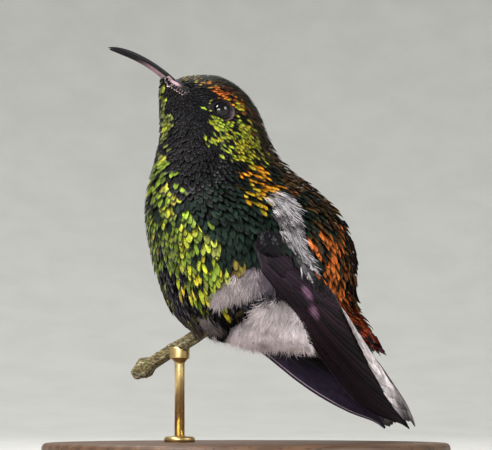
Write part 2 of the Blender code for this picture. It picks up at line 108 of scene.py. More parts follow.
# Share of the length, then x and distance at the leading edge, and at the other edge.
WING_STATIONS = np.array([
    (0.00, 12.1, 1.30, 12.0, 1.60),
    (0.05, 12.7, 2.30, 12.5, 2.30),
    (0.14, 12.5, 2.65, 12.7, 2.50),
    (0.25, 11.5, 2.40, 12.4, 2.90),
    (0.36, 9.40, 2.35, 11.4, 3.05),
    (0.48, 6.30, 2.50, 9.20, 2.85),
    (0.60, 4.90, 2.65, 7.00, 2.70),
    (0.72, 4.20, 2.65, 5.60, 2.10),
    (0.84, 3.60, 2.35, 4.50, 1.40),
    (0.93, 3.35, 1.50, 4.00, 1.10),
    (1.00, 3.60, 0.25, 3.70, 0.50),
])
# How far each wing's long feathers bow out past its leading edge, at shares of its length.
BOW_SHARES = (0.0, 0.15, 0.30, 0.42, 0.50, 0.60, 0.75, 0.90, 1.0)
WING_BOW = {
    1: (0.45, 0.5, 0.5, 0.3, 0.05, 0.2, 1.1, 1.5, 0.9),
    -1: (0.3, 0.6, 1.1, 1.5, 1.7, 1.7, 1.4, 1.1, 0.6),
}
# Where each long feather's tip lies, as a share of the wing's length.
PRIMARY_TIPS = (1.0, 0.975, 0.935, 0.885, 0.825, 0.765, 0.70, 0.635, 0.575, 0.52)
SECONDARY_TIPS = (0.475, 0.445, 0.415, 0.385, 0.355, 0.325)
# Rows of coverts: count, share of the wing's length where they start and end, layer, width.
COVERT_ROWS = (
    (9, 0.05, 0.335, 1.15, 1.0),
    (8, 0.02, 0.235, 1.32, 0.95),
    (7, -0.005, 0.16, 1.45, 0.9),
    (6, -0.02, 0.095, 1.55, 0.9),
)
LAYER_FLOOR = 0.62                         # the lowest layer, as a share of the wing's thickness
STRIPE_COUNT = 34
WRIST_CENTRE = np.array([13.35, -4.25, 32.35])
WRIST_RADII = (1.25, 2.25, 1.85)
WRIST_TILT = -38.0
WRIST_SCALES = 8                           # scales round the wrist in each row

TAIL_ROOT = (21.6, 17.7)
TAIL_TIP = (28.9, 6.7)
TAIL_STATIONS = np.array([(0.0, 3.7), (0.35, 4.5), (0.65, 5.0), (0.85, 4.7), (1.0, 3.9)])
TAIL_ARCH = 0.9
TAIL_SUNK = 2.6                            # how far the quills run on under the coverts
TAIL_SHAFTS = (0.14, 0.36, 0.55, 0.72, 0.84)    # each pair's place across the half width

TWIG_POINT = np.array([-3.0, -5.2, 20.6])
TWIG_RISE = np.array([1.0, 0.15, 0.386])
TWIG_SPAN = (-17.6, 9.6)
TWIG_RADIUS = 0.98
TWIG_KNOB = -15.4                          # the swollen old bud near the cut end
FOOT_SPOTS = (("right", -0.4), ("left", 6.2))
TOE_RADIUS = 0.29
TOE_SPREAD = 0.66
TOE_RING = 1.57                            # from the twig's middle line to a toe's
# A toe's shift along the twig, its way round (1 over the front) and how far round, in degrees.
TOES = ((-1, 1, 118), (0, 1, 132), (1, 1, 118), (0.2, -1, 112))
CLAW_BEND = 34.0
CLAW_RADIUS = 0.17

THIGH_CENTRE = np.array([5.6, 4.6, 22.2])
THIGH_RADII = np.array([3.3, 6.4, 3.5])
THIGH_PITCH = -20.0
THIGH_BLEND = 0.35

BASE_RADIUS = 30.0
BASE_HEIGHT = 4.0
ROD_RADIUS = 0.75
ROD_SPOT = -6.4
CUP_RADIUS = 1.5
COLLAR_RADIUS = 2.3
COLLAR_HEIGHT = 1.0
STAND_GAP = 0.02                           # between the base and the brass on it

CAMERA_TARGET = (0.0, 0.0, 36.1)
CAMERA_SIDE = 58.0
CAMERA_RISE = -4.0
CAMERA_DISTANCE = 380.0
CAMERA_SPAN = 72.8                         # width of the view at the target
# Name, azimuth, height angle, distance, size in metres, power and colour.
LIGHTS = (
    ("key", 12, 46, 0.62, 0.22, 5.6, (1.0, 0.97, 0.92)),
    ("fill", 46, 7, 0.70, 0.28, 4.2, (0.95, 0.97, 1.0)),
    ("back", 262, 60, 0.70, 0.30, 3.0, (1.0, 1.0, 1.0)),
    ("side", 122, 24, 0.70, 0.30, 3.0, (1.0, 1.0, 1.0)),
    ("catch", 30, 8, 0.70, 0.035, 0.6, (1.0, 1.0, 1.0)),
)

BAKE_PATCH = 0.003                         # width of one feather's patch in the map OFBake
FAR_OFF = 99.0                             # a distance that nothing on the head reaches
COAT_ROOM = (0.12, 2.0)                    # the coat's room from the wing, and round the twig
SKIN_ROOM = (0.35, 2.15)                   # the same for the skin
BARB_ROOM = 0.10

# Feather colours, linear.
INK = (0.0055, 0.0055, 0.0065)
TEAL = (0.010, 0.022, 0.015)
BOTTLE = (0.020, 0.042, 0.014)
LIME = (0.41, 0.48, 0.03)
LEAF = (0.24, 0.36, 0.03)
KHAKI = (0.25, 0.26, 0.07)
OLIVE = (0.13, 0.17, 0.035)
STRAW = (0.38, 0.33, 0.05)
GOLD = (0.62, 0.45, 0.03)
AMBER = (0.90, 0.45, 0.02)
ORANGE = (0.95, 0.29, 0.02)
COPPER = (0.55, 0.12, 0.02)
EMBER = (0.72, 0.08, 0.025)
UMBER = (0.050, 0.032, 0.018)
RUSSET = (0.16, 0.045, 0.022)
FLAME = (0.74, 0.19, 0.03)
BRONZE = (0.15, 0.075, 0.022)
MAUVE = (0.17, 0.145, 0.17)
ROSE = (0.66, 0.50, 0.50)
DOWN = (0.80, 0.72, 0.73)
SMOKE = (0.16, 0.135, 0.155)
CREAM = (0.66, 0.60, 0.48)
WING_INK = np.array([0.007, 0.0045, 0.006])
WING_VIOLET = np.array([0.024, 0.011, 0.019])
WING_LILAC = np.array([0.24, 0.12, 0.20])
# Painted sheen of the far wing's underside, lightened further as painted light where that wing lies in
# shadow.
WING_BLUE = np.array([0.080, 0.058, 0.105])
WING_SHAFT = (0.30, 0.24, 0.26)
WING_RIM = (0.080, 0.058, 0.080, 0.65)
# Painted lilac sheen on the inner feathers: middle along the wing and above its line, half sizes.
LILAC_SHEEN_SPOTS = ((10.6, -0.25, 1.5, 0.50), (14.1, -0.65, 1.4, 0.45))

# ---------------------------------------------------------------- markings with painted glitter, and coat tables
# Patches of bright feathers over a dark ground, in order: the bird's markings together with painted
# reflection, its iridescent glitter set by place on the body, bright where the glitter shows and black where
# it is turned away, as on the throat and belly.  Each is the station and the angle from the back in degrees
# of its middle, its reach in each, the share of its feathers that are bright there, and the two colours that
# they lie between.
MARKS_AND_GLITTER = (
    # station, angle, reach, reach, share, colour, colour
    (3.0, 35, 3.2, 40, 0.85, UMBER, BOTTLE),       # crown
    (6.5, 25, 2.2, 45, 0.9, BOTTLE, UMBER),        # nape
    (4.2, 48, 2.6, 22, 0.30, RUSSET, BRONZE),      # glints on the crown
    (4.0, 138, 4.6, 32, 1.0, INK, INK),            # throat, painted black where its glitter is turned away
    (2.8, 180, 4.4, 16, 0.80, OLIVE, KHAKI),       # down the throat's middle
    (2.8, 176, 4.4, 12, 0.14, STRAW, LIME),        # bright ones there
    (0.7, 45, 0.7, 40, 0.5, STRAW, BRONZE),        # forehead by the bill
    (2.0, 71, 1.1, 8, 0.55, FLAME, STRAW),         # before the brow
    (3.45, 75, 0.75, 8, 0.90, FLAME, COPPER),      # brow
    (4.4, 63, 0.9, 7, 0.5, ORANGE, BRONZE),        # behind the brow
    (4.6, 78, 0.55, 9, 0.8, ORANGE, GOLD),         # behind the eye
    (5.3, 88, 1.5, 24, 0.46, LIME, GOLD),          # cheek
    (5.8, 100, 1.4, 14, 0.36, LIME, LEAF),         # lower cheek
    (6.5, 71, 1.1, 16, 0.58, LIME, STRAW),         # side of the nape
    (4.3, 102, 1.3, 9, 0.50, LIME, LEAF),          # under the eye
    (7.3, 84, 0.7, 9, 0.60, LIME, GOLD),           # foot of the cheek
    (8.5, 84, 0.9, 13, 0.70, ORANGE, AMBER),       # side of the neck
    (9.2, 99, 0.6, 9, 0.80, AMBER, GOLD),          # front of that patch
    (8.4, 174, 2.6, 24, 0.75, OLIVE, LEAF),        # upper breast
    (8.6, 172, 2.2, 20, 0.22, LIME, STRAW),        # bright ones there
    (11.2, 163, 2.0, 22, 0.82, OLIVE, LEAF),       # breast middle
    (11.2, 160, 2.0, 24, 0.26, LIME, STRAW),       # bright ones there
    (12.0, 143, 1.4, 14, 0.34, LIME, KHAKI),       # breast side
    (13.8, 182, 2.3, 20, 0.92, INK, INK),          # belly, painted black where its glitter is turned away
    (13.2, 153, 1.4, 15, 0.50, LIME, GOLD),        # lower breast
    (12.3, 128, 0.35, 8, 0.8, BRONZE, STRAW),      # edge over the flank puff
    (14.4, 168, 1.4, 9, 0.25, GOLD, STRAW),        # streaks down the belly
    (10.4, 30, 3.4, 40, 0.95, UMBER, BRONZE),      # mantle
    (12.2, 66, 1.9, 16, 0.52, FLAME, COPPER),      # scapulars
    (14.2, 50, 1.7, 24, 0.54, FLAME, BRONZE),      # lower back
    (16.4, 40, 1.8, 36, 0.80, EMBER, COPPER),      # rump
    (18.8, 30, 2.0, 45, 0.75, EMBER, UMBER),       # upper tail coverts
)
# Pale or grey ground under the puffs and the tail, in the same order of numbers.
PALE = (
    (13.0, 112, 0.8, 12, (0.07, 0.06, 0.07)),
    (13.4, 131, 0.7, 14, (0.07, 0.06, 0.07)),
    (16.8, 124, 1.5, 36, (0.30, 0.26, 0.28)),
    (18.6, 140, 2.2, 50, CREAM),
    (11.4, 89, 1.7, 5, SMOKE),
)

# Sizes of the coat's feathers: station, then the value at the back, the side and the front.
# The steps between rows and between neighbours, the length, the coat's depth over the skin,
# how pointed a feather is and how far its tip stands off.
ROW_STEP = ((0, .42, .38, .42), (3, .55, .50, .60), (6, .75, .60, .70), (9, 1.05, .84, .84),
            (12, 1.5, 1.05, 1.05), (15, 1.8, 1.4, 1.35), (20, 2.0, 1.5, 1.5))
SIDE_STEP = ((0, .38, .34, .44), (3, .50, .32, .78), (6, .65, .38, .82), (9, 1.0, .82, .86),
             (12, 1.15, 1.0, .90), (15, 1.2, 1.1, 1.0), (20, 1.2, 1.1, 1.0))
LENGTH = ((0, 1.0, .95, 1.0), (3, 1.5, 1.3, 1.6), (6, 2.1, 1.7, 1.9), (9, 3.4, 2.5, 2.5), (12, 5.4, 3.4, 3.3),
          (15, 6.0, 4.0, 4.8), (18, 4.6, 4.0, 4.0), (20, 4.0, 3.6, 4.0))
DEPTH = ((0, .30, .28, .30), (3, .40, .34, .45), (6, .65, .50, .65), (9, 1.1, 1.0, 1.0), (12, 1.5, 1.4, 1.4),
         (16, 1.5, 1.4, 1.3), (20, .8, .8, .8))
POINT = ((0, .3, .4, .3), (3, .5, .7, .05), (6, .5, .6, .05), (9, .75, .5, .25), (12, .85, .45, .55),
         (15, .9, .6, .95), (20, .8, .6, .8))
LIFT = ((0, .04, .03, .05), (6, .10, .06, .06), (9, .40, .12, .10), (12, .95, .15, .20), (14, 1.0, .2, .6),
        (15.5, .6, .2, .9), (18, .25, .1, .2), (20, .2, .1, .2))
MARK_FALL = 0.9                            # how steeply a patch's edge falls off
HUE_DICE = 7                               # how many separate draws mix the patches' colours

CHIN_COUNT = 9
CHIN_SKEW = 0.85
CHIN_SIZE = (0.95, 0.52)
# The broad tips of the last rump feathers: station, angle, length, width and colour.
COVERT_TIPS = (
    (17.5, 22.0, 5.8, 2.8, 0.50, 0.045, 0.015),
    (17.6, 34.0, 5.8, 2.8, 0.62, 0.065, 0.018),
    (18.75, 53.0, 5.4, 2.4, 0.085, 0.014, 0.028),
    (18.5, 42.0, 5.4, 2.4, 0.14, 0.022, 0.02),
)
# The coat's pieces: name, first and last station, and slot.
COAT_PIECES = (
    ("head_feathers", -1, 6.0, "crown_plumage"),
    ("neck_feathers", 6.0, 8.6, "throat_plumage"),
    ("breast_feathers", 8.6, 12.2, "body_plumage"),
    ("belly_and_back_feathers", 12.2, 17.4, "body_plumage"),
    ("tail_covert_feathers", 17.4, 30, "body_plumage"),
)
# Rows and columns of the small vanes, the downy barbs and the long feathers.
VANE_ROWS = np.array([0.0, 0.22, 0.42, 0.60, 0.76, 0.90, 1.0])
VANE_COLUMNS = np.array([-1.0, -0.62, -0.28, 0.0, 0.28, 0.62, 1.0])
BARB_ROWS = np.array([0.0, 0.25, 0.5, 0.75, 1.0])
QUILL_COLUMNS = np.array([-1.0, -0.6, -0.25, -0.07, 0.0, 0.07, 0.25, 0.5, 0.78, 1.0])
QUILL_ROWS = 30
STRIPE_ROWS = 16


# ---------------------------------------------------------------- small maths
def unit(vectors):
    """Vectors at length one."""
    vectors = np.asarray(vectors, dtype=float)
    return vectors / np.maximum(np.linalg.norm(vectors, axis=-1, keepdims=True), 1e-9)


def ease(value, low, high):
    """Nought below low, one above high, and an S-shaped rise between."""
    part = np.clip((value - low) / (high - low), 0, 1)
    return part * part * (3 - 2 * part)


def between(start, end, share):
    """Start plus a share of the way to end."""
    return np.array(start) + (np.array(end) - np.array(start)) * share


def bell(value, middle, width, power=2):
    """One at the middle, and e to the minus (distance over width) to a power away from it."""
    return np.exp(-((value - middle) / width) ** power)


def turns_round(count):
    """Angles spread evenly round a full turn, without the last."""
    return np.linspace(0, FULL_TURN, count, endpoint=False)


def with_ends(rows):
    """Values at a closed tube's points, with its first and last ones again for the two poles."""
    return np.concatenate([rows, rows[:1], rows[-1:]])


def tinted(tint, alpha=1.0):
    """Colours with their alpha, as a piece's tint."""
    return {"tint": np.column_stack([tint, np.broadcast_to(alpha, len(tint))])}


def both_sides(angle, side):
    """Turns from angles off the back, on the left for 1 and on the right for -1."""
    return angle if side > 0 else FULL_TURN - angle


def through(table, t):
    """Catmull-Rom curve through the rows of a table, read at the row numbers t, straight past its end."""
    t = np.atleast_1d(np.asarray(t, dtype=float))
    past = np.maximum(t - (len(table) - 1), 0)[:, None]
    t = t - past[:, 0]
    row = np.clip(np.floor(t).astype(int), 0, len(table) - 2)
    part = (t - row)[:, None]
    before = table[np.maximum(row - 1, 0)]
    start = table[row]
    end = table[row + 1]
    after = table[np.minimum(row + 2, len(table) - 1)]
    curve = 0.5 * (2 * start + (end - before) * part
                   + (2 * before - 5 * start + 4 * end - after) * part ** 2
                   + (3 * start - before - 3 * end + after) * part ** 3)
    return curve + (table[-1] - table[-2]) * past


def twig_axes():
    """The twig's own directions: along it, up from it, and to the bird's front."""
    along = unit(TWIG_RISE)
    high = unit(np.array([0.0, 0.0, 1.0]) - along * along[2])
    front = np.cross(along, high)
    return along, high, front if front[1] < 0 else -front


WING_LENGTH = float(np.linalg.norm(WING_LINE[1] - WING_LINE[0]))
WING_AHEAD = unit(WING_LINE[1] - WING_LINE[0])
WING_HIGH = np.array([-WING_AHEAD[1], WING_AHEAD[0]])


# ---------------------------------------------------------------- the plumage's outer shape
def egg_reach(start, way, centre, radii, pitch):
    """How far along a way the far side of a pitched egg lies.

    The larger root of the line's quadratic with the egg; past the egg's rim the value
    falls off steeply, so that a soft maximum with it fades out.
    """
    c, s = math.cos(math.radians(pitch)), math.sin(math.radians(pitch))
    level = np.array([[1, 0, 0], [0, c, s], [0, -s, c]])
    o = (start - centre) @ level.T / radii
    d = way @ level.T / radii
    a = (d * d).sum(-1)
    b = (o * d).sum(-1)
    inner = b * b - a * ((o * o).sum(-1) - 1)
    return (-b + np.where(inner > 0, np.sqrt(np.abs(inner)), -3 * np.sqrt(np.abs(inner)))) / a


def outline(t, turn):
    """Outer shape of the plumage at station t and angle turn, 0 at the back and pi at the throat.

    The oval's middle, plus cos(turn) times its reach to the back, plus sin(turn) times its
    half width to the left.  Before station 0 the oval closes in a dome round the bill.  The
    thighs' eggs are taken in by a soft maximum of reaches.
    """
    t, turn = np.broadcast_arrays(np.asarray(t, dtype=float), np.asarray(turn, dtype=float))
    dome = np.clip(-t.ravel(), 0, 0.98)
    row = through(BODY_STATIONS, np.maximum(t.ravel(), 0))
    angle = turn.ravel()
    middle = np.column_stack([np.zeros(len(row)), (row[:, 0:2] + row[:, 2:4]) / 2])
    middle = middle + np.outer(DOME_DEPTH * dome, DOME_WAY)
    reach = np.column_stack([np.zeros(len(row)), (row[:, 2:4] - row[:, 0:2]) / 2])
    drawn_in = np.sqrt(1 - dome ** 2)[:, None]
    out = reach * drawn_in * np.cos(angle)[:, None]
    out[:, 0] = (row * drawn_in)[:, 4] * np.sin(angle)
    size = np.linalg.norm(out, axis=1)
    way = unit(out)
    for _, side in SIDES:
        far = egg_reach(middle, way, THIGH_CENTRE * (side, 1, 1), THIGH_RADII, THIGH_PITCH)
        size = size + THIGH_BLEND * np.logaddexp(0, np.clip((far - size) / THIGH_BLEND, -30, 30))
    return (middle + way * size[:, None]).reshape(*t.shape, 3)


def outline_frame(t, turn):
    """Point, outward normal, and the rates along t and along turn."""
    step = 0.02
    point = outline(t, turn)
    along = (outline(t + step, turn) - outline(t - step, turn)) / (2 * step)
    around = (outline(t, turn + step) - outline(t, turn - step)) / (2 * step)
    return point, unit(np.cross(around, along)), along, around


def fold_angle(turn):
    """Degrees from the middle of the back, 0 to 180, the same on both sides."""
    return np.degrees(np.arccos(np.clip(np.cos(turn), -1, 1)))


def wing_sheet(along, offset):
    """The folded wing's middle sheet at millimetres along its line and above it.

    Gives x, both edges' distances from the line and the thickness.
    """
    shape = along.shape
    s = (along / WING_LENGTH).ravel()
    index = np.interp(s, WING_STATIONS[:, 0], np.arange(len(WING_STATIONS)))
    _, out_low, down, out_high, up = through(WING_STATIONS, index).T
    c = np.clip((offset.ravel() + down) / (down + up), 0, 1)
    x = out_low + (out_high - out_low) * c
    x = x + WING_CAMBER * (1 - (2 * c - 1) ** 2) * (1 - 0.7 * np.clip(s, 0, 1))
    thick = WING_THICK[0] + (WING_THICK[1] - WING_THICK[0]) * np.clip(s * 1.6, 0, 1)
    return [v.reshape(shape) for v in (x, down, up, thick)]


def on_wing_line(points):
    """How far along the wing's line, and above it, points lie."""
    flat = points[..., 1:] - WING_LINE[0]
    return flat @ WING_AHEAD, flat @ WING_HIGH


def beside_wing(points, over, margin, slope):
    """Presses plumage in under the folded wing, or drapes it over the wing where over is true.

    Inside the wing's outline the distance from the midline is kept below the sheet less half
    its thickness, or above the sheet plus half of it; outside the outline the limit opens
    by the slope.
    """
    side = np.where(points[..., 0] < 0, -1.0, 1.0)
    along, offset = on_wing_line(points)
    x, down, up, thick = wing_sheet(along, offset)
    edge = np.minimum(np.minimum(offset + down, up - offset), np.minimum(along + 0.6, WING_LENGTH - along))
    open_by = slope * np.maximum(-edge, 0)
    reach = np.abs(points[..., 0])
    low = np.minimum(reach, np.maximum(x - thick / 2 - margin - WING_BED + open_by, 0.5))
    high = np.maximum(reach, x + thick / 2 + margin - open_by)
    result = points.copy()
    result[..., 0] = side * np.where(over, high, low)
    return result


def over_twig(points, radius):
    """Lifts plumage clear of the twig and the toes.

    In the twig's own directions, a point within the radius of its middle line, or below it,
    goes up to the round of that radius.
    """
    along, high, front = twig_axes()
    rel = points - TWIG_POINT
    a, b, c = rel @ along, rel @ front, rel @ high
    room = np.sqrt(np.clip(radius ** 2 - b ** 2, 0, None))
    held = (np.abs(b) < radius) & (a > -14) & (a < TWIG_SPAN[1] + 1.0) & (c > -5) & (c < room)
    return points + high * (np.where(held, room - c, 0))[..., None]


def off_twig(points):
    """Distances from the twig's middle line, or from its ends."""
    along, _, _ = twig_axes()
    rel = points - TWIG_POINT
    nearest = np.clip(rel @ along, *TWIG_SPAN)
    return np.linalg.norm(rel - nearest[..., None] * along, axis=-1)


def fitted(points, over, room):
    """Plumage fitted round the wings and the twig, with its room from each."""
    margin, radius = room
    return over_twig(beside_wing(points, over, margin, WING_EDGE_SLOPE), radius)


# ---------------------------------------------------------------- meshes
def grid_faces(rows, columns, wrap=False):
    """Quads over a grid of points, closed round each row if asked."""
    i = np.arange(rows - 1)[:, None]
    j = np.arange(columns if wrap else columns - 1)[None, :]
    k = (j + 1) % columns
    corners = (i * columns + j, i * columns + k, (i + 1) * columns + k, (i + 1) * columns + j)
    quads = np.stack(corners, axis=-1)
    return quads.reshape(-1, 4)


def capped_faces(rows, columns):
    """Quads round a closed tube of rings, with a fan to one more point at each end."""
    j = np.arange(columns)
    k = (j + 1) % columns
    first = rows * columns
    last = (rows - 1) * columns
    none = np.full(columns, -1)
    low = np.stack([np.full(columns, first), k, j, none], axis=1)
    high = np.stack([np.full(columns, first + 1), last + j, last + k, none], axis=1)
    return np.concatenate([grid_faces(rows, columns, True), low, high])


def facing_out(points, faces):
    """The faces turned, if need be, so that the solid's volume is positive."""
    a, b, c = (points[faces[:, n]] for n in range(3))
    d = points[np.where(faces[:, 3] < 0, faces[:, 0], faces[:, 3])]
    volume = (a * np.cross(b, c)).sum() + (a * np.cross(c, d)).sum()
    if volume >= 0:
        return faces
    turned = faces.copy()
    quad = faces[:, 3] >= 0
    turned[quad] = faces[quad][:, ::-1]
    turned[~quad, :3] = faces[~quad][:, [2, 1, 0]]
    return turned


def joined(parts):
    """Points and faces of several solids as one, each one's faces counted on from the last."""
    points, faces, count = [], [], 0
    for own_points, own_faces in parts:
        points.append(own_points)
        faces.append(np.where(own_faces >= 0, own_faces + count, -1))
        count += len(own_points)
    return np.concatenate(points), np.concatenate(faces)


def add_piece(name, points, faces, material, slot, maps=None, colours=None, body="root"):
    """One finished piece from points in millimetres, with its UV maps and colour attributes."""
    points = np.asarray(points, dtype=np.float32).reshape(-1, 3) * MM
    held = faces >= 0
    corners = faces[held].astype(np.int32)
    starts = np.concatenate([[0], np.cumsum(held.sum(1))[:-1]]).astype(np.int32)
    mesh = bpy.data.meshes.new(name)
    mesh.vertices.add(len(points))
    mesh.vertices.foreach_set("co", points.ravel())
    mesh.loops.add(len(corners))
    mesh.loops.foreach_set("vertex_index", corners)
    mesh.polygons.add(len(faces))
    mesh.polygons.foreach_set("loop_start", starts)
    mesh.update(calc_edges=True)
    for label, uv in (maps or {}).items():
        layer = mesh.uv_layers.new(name=label)
        layer.uv.foreach_set("vector", np.asarray(uv, dtype=np.float32).reshape(-1, 2)[corners].ravel())
    for label, colour in (colours or {}).items():
        layer = mesh.color_attributes.new(name=label, type="FLOAT_COLOR", domain="POINT")
        layer.data.foreach_set("color", np.asarray(colour, dtype=np.float32).reshape(-1, 4).ravel())
    mesh.shade_smooth()
    mesh.materials.append(material)
    piece = bpy.data.objects.new(name, mesh)
    bpy.context.scene.collection.objects.link(piece)
    if body:
        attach(piece, body)
    return piece


def tube(path, radii, sides, up=(0.0, 0.0, 1.0), shape=1.0):
    """Rings square to a path: its point plus the radius times the turn's cosine up and sine across."""
    path = np.asarray(path, dtype=float)
    radii = np.broadcast_to(np.asarray(radii, dtype=float), len(path))
    ahead = unit(np.gradient(path, axis=0))
    high = np.broadcast_to(np.asarray(up, dtype=float), path.shape)
    high = unit(high - ahead * (high * ahead).sum(-1, keepdims=True))
    across = np.cross(ahead, high)
    turn = turns_round(sides)
    swell = np.broadcast_to(shape, (len(path), sides))
    ring = np.cos(turn)[None, :, None] * high[:, None, :] + np.sin(turn)[None, :, None] * across[:, None, :]
    return path[:, None, :] + ring * (radii[:, None] * swell)[..., None]


def closed_tube(rings):
    """Points and faces of a tube of rings with its ends closed to their middles."""
    points = np.concatenate([rings.reshape(-1, 3), rings[:1].mean(1), rings[-1:].mean(1)])
    return points, facing_out(points, capped_faces(*rings.shape[:2]))


def ripple(points, size, seed):
    """Smooth, aperiodic waviness between about -1 and 1: a sum of sines in seeded directions."""
    local = np.random.default_rng(seed)
    total = np.zeros(points.shape[:-1])
    for octave in range(5):
        way = unit(local.normal(size=3))
        shift = local.uniform(0, 6.28)
        total += np.sin(points @ way * (FULL_TURN / size) * (1 + 0.45 * octave) + shift) / 5
    return total * 1.6


# ---------------------------------------------------------------- node materials
class Finish:
    """One Principled material, put together from linked nodes."""

    def __init__(self, name, rough, metallic=0.0, **fixed):
        """Starts a finish from its roughness, metallic value and other fixed inputs."""
        self.material = bpy.data.materials.new(name)
        self.material.use_nodes = True
        self.nodes = self.material.node_tree.nodes
        self.links = self.material.node_tree.links
        self.shader = self.nodes["Principled BSDF"]
        self.set(self.shader, {"Roughness": rough, "Metallic": metallic})
        for label, value in fixed.items():
            self.set(self.shader, {label.replace("_", " "): value})

    def set(self, node, inputs):
        """Sets or links a node's inputs."""
        for label, value in inputs.items():
            socket = node.inputs[label]
            if isinstance(value, bpy.types.NodeSocket):
                self.links.new(value, socket)
            elif isinstance(value, (tuple, list)) and socket.type == "RGBA":
                socket.default_value = (*value[:3], 1.0)
            else:
                socket.default_value = value

    def add(self, kind, inputs=None, **settings):
        """A new node with its settings and inputs."""
        node = self.nodes.new(kind)
        for label, value in settings.items():
            setattr(node, label, value)
        self.set(node, inputs or {})
        return node

    def maths(self, operation, a, b=0.0, c=0.5):
        """One Math node's result."""
        return self.add("ShaderNodeMath", {0: a, 1: b, 2: c}, operation=operation).outputs[0]

    def smooth(self, value, low, high, out_low=0.0, out_high=1.0):
        """A smooth step of a value from low to high."""
        node = self.add("ShaderNodeMapRange", interpolation_type="SMOOTHSTEP")
        self.set(node, {"Value": value, "From Min": low, "From Max": high,
                        "To Min": out_low, "To Max": out_high})
        return node.outputs["Result"]

    def blend(self, share, a, b, how="MIX"):
        """Two colours blended."""
        node = self.add("ShaderNodeMix", data_type="RGBA", blend_type=how)
        self.set(node, {0: share, 6: a, 7: b})
        return node.outputs[2]

    def times(self, colour, by):
        """A colour multiplied by another or by a number."""
        return self.blend(1.0, colour, by, "MULTIPLY")

    def place(self, scale=(1.0, 1.0, 1.0), turn=(0.0, 0.0, 0.0)):
        """The piece's own position, in metres, stretched."""
        where = self.add("ShaderNodeTexCoord").outputs["Object"]
        return self.add("ShaderNodeMapping", {"Vector": where, "Scale": scale, "Rotation": turn}).outputs[0]

    def noise(self, where, scale, detail=3.0, rough=0.55):
        """Noise around a half."""
        return self.add("ShaderNodeTexNoise",
                        {"Vector": where, "Scale": scale, "Detail": detail,
                         "Roughness": rough}).outputs["Fac"]

    def map(self, name="vane"):
        """The two numbers of a UV map."""
        split = self.add("ShaderNodeSeparateXYZ", {0: self.add("ShaderNodeUVMap", uv_map=name).outputs[0]})
        return split.outputs[0], split.outputs[1]

    def attribute(self, name="tint"):
        """A colour attribute's colour and alpha."""
        node = self.add("ShaderNodeAttribute", attribute_name=name)
        return node.outputs["Color"], node.outputs["Alpha"]

    def bumped(self, height, strength, depth):
        """Sets the surface's fine relief, depth in metres."""
        node = self.add("ShaderNodeBump", {"Height": height, "Strength": strength, "Distance": depth})
        self.set(self.shader, {"Normal": node.outputs[0]})

    def done(self, colour, grain, low, high, *roughness):
        """Links the colour and a roughness that follows a grain, and gives the material."""
        rough = self.smooth(grain, low, high, *roughness)
        self.set(self.shader, {"Base Color": colour, "Roughness": rough})
        return self.material


class FeatherFinish(Finish):
    """What every feather's material starts from: where on the vane, its colours and its barbs.

    Across is how far from the shaft a point lies, 0 to 1, and the barbs are a sine of the way
    along the vane less a share of across.
    """

    def __init__(self, name, rough, metallic, barb_rows, barb_slant):
        """Lays the barbs: slanting lines from the shaft, counted along a feather's length."""
        super().__init__(name, rough, metallic, Specular_IOR_Level=0.10)
        u, self.v = self.map()
        self.tint, _ = self.attribute()
        self.rim, self.rim_share = self.attribute("rim")
        self.across = self.maths("ABSOLUTE", self.maths("SUBTRACT", self.maths("MULTIPLY", u, 2.0), 1.0))
        slant = self.maths("ADD", self.maths("MULTIPLY", self.v, barb_rows),
                           self.maths("MULTIPLY", self.across, -barb_slant))
        self.barbs = self.maths("SINE", slant)

    def barred(self, share):
        """One, dipping where a barb's wave is low."""
        return self.maths("MULTIPLY_ADD", self.barbs, share, 1.0 - share)


def plumage_finish(name, metallic):
    """Small feathers: a dark downy root, the feather's own colour past it, barbs and a rim."""
    f = FeatherFinish(name, 0.42, metallic, 55.0, 26.0)
    shown = f.smooth(f.v, 0.30, 0.52)
    shade = f.barred(0.22)
    mottle = f.noise(f.place(), 1900.0, 2.0)
    shade = f.maths("MULTIPLY", shade, f.smooth(mottle, 0.25, 0.75, 0.7, 1.25))
    own = f.times(f.tint, shade)
    colour = f.blend(shown, f.times(f.tint, (0.16, 0.15, 0.16)), own)
    edge = f.maths("MAXIMUM", f.maths("POWER", f.across, 1.4), f.maths("POWER", f.v, 3.0))
    start = f.maths("ADD", f.maths("SUBTRACT", edge, 1.0), f.maths("MULTIPLY", f.rim_share, 0.30))
    colour = f.blend(f.maths("MULTIPLY", f.smooth(start, 0.0, 0.09), 0.9), colour, f.rim)
    f.bumped(f.maths("ADD", f.barbs, f.maths("MULTIPLY", f.across, -1.5)), 0.35, 0.00003)
    return f.done(colour, mottle, 0.2, 0.8, 0.34, 0.52)


def quill_finish(name, rough, metallic, shaft_gain, barb_share=0.18, relief=0.30):
    """Long feathers: the vane's colour, slanting barbs, a shaft line and worn rims."""
    f = FeatherFinish(name, rough, metallic, 420.0, 60.0)
    streak = f.noise(f.place(), 1100.0)
    shade = f.maths("MULTIPLY", f.barred(barb_share), f.smooth(streak, 0.25, 0.75, 0.72, 1.25))
    colour = f.times(f.tint, shade)
    colour = f.blend(f.maths("MULTIPLY", f.smooth(f.across, 0.86, 0.99), f.rim_share), colour, f.rim)
    shaft = f.smooth(f.across, 0.035, 0.075, 1.0, 0.0)
    colour = f.blend(f.maths("MULTIPLY", shaft, 0.8), colour, f.times(f.tint, (shaft_gain,) * 3))
    f.bumped(f.barbs, relief, 0.00003)
    return f.done(colour, streak, 0.2, 0.8, rough - 0.07, rough + 0.09)


def down_finish():
    """Soft downy barbs, darker at the root."""
    f = Finish("downy_barbs", 0.85, Specular_IOR_Level=0.2, Sheen_Weight=0.25, Sheen_Roughness=0.5)
    _, v = f.map()
    tint, _ = f.attribute()
    mottle = f.noise(f.place(), 700.0)
    light = f.times(tint, f.smooth(mottle, 0.3, 0.7, 0.82, 1.12))
    dark = f.times(tint, (0.42, 0.40, 0.42))
    return f.done(f.blend(f.smooth(v, 0.05, 0.5), dark, light), mottle, 0.2, 0.8, 0.75, 0.95)


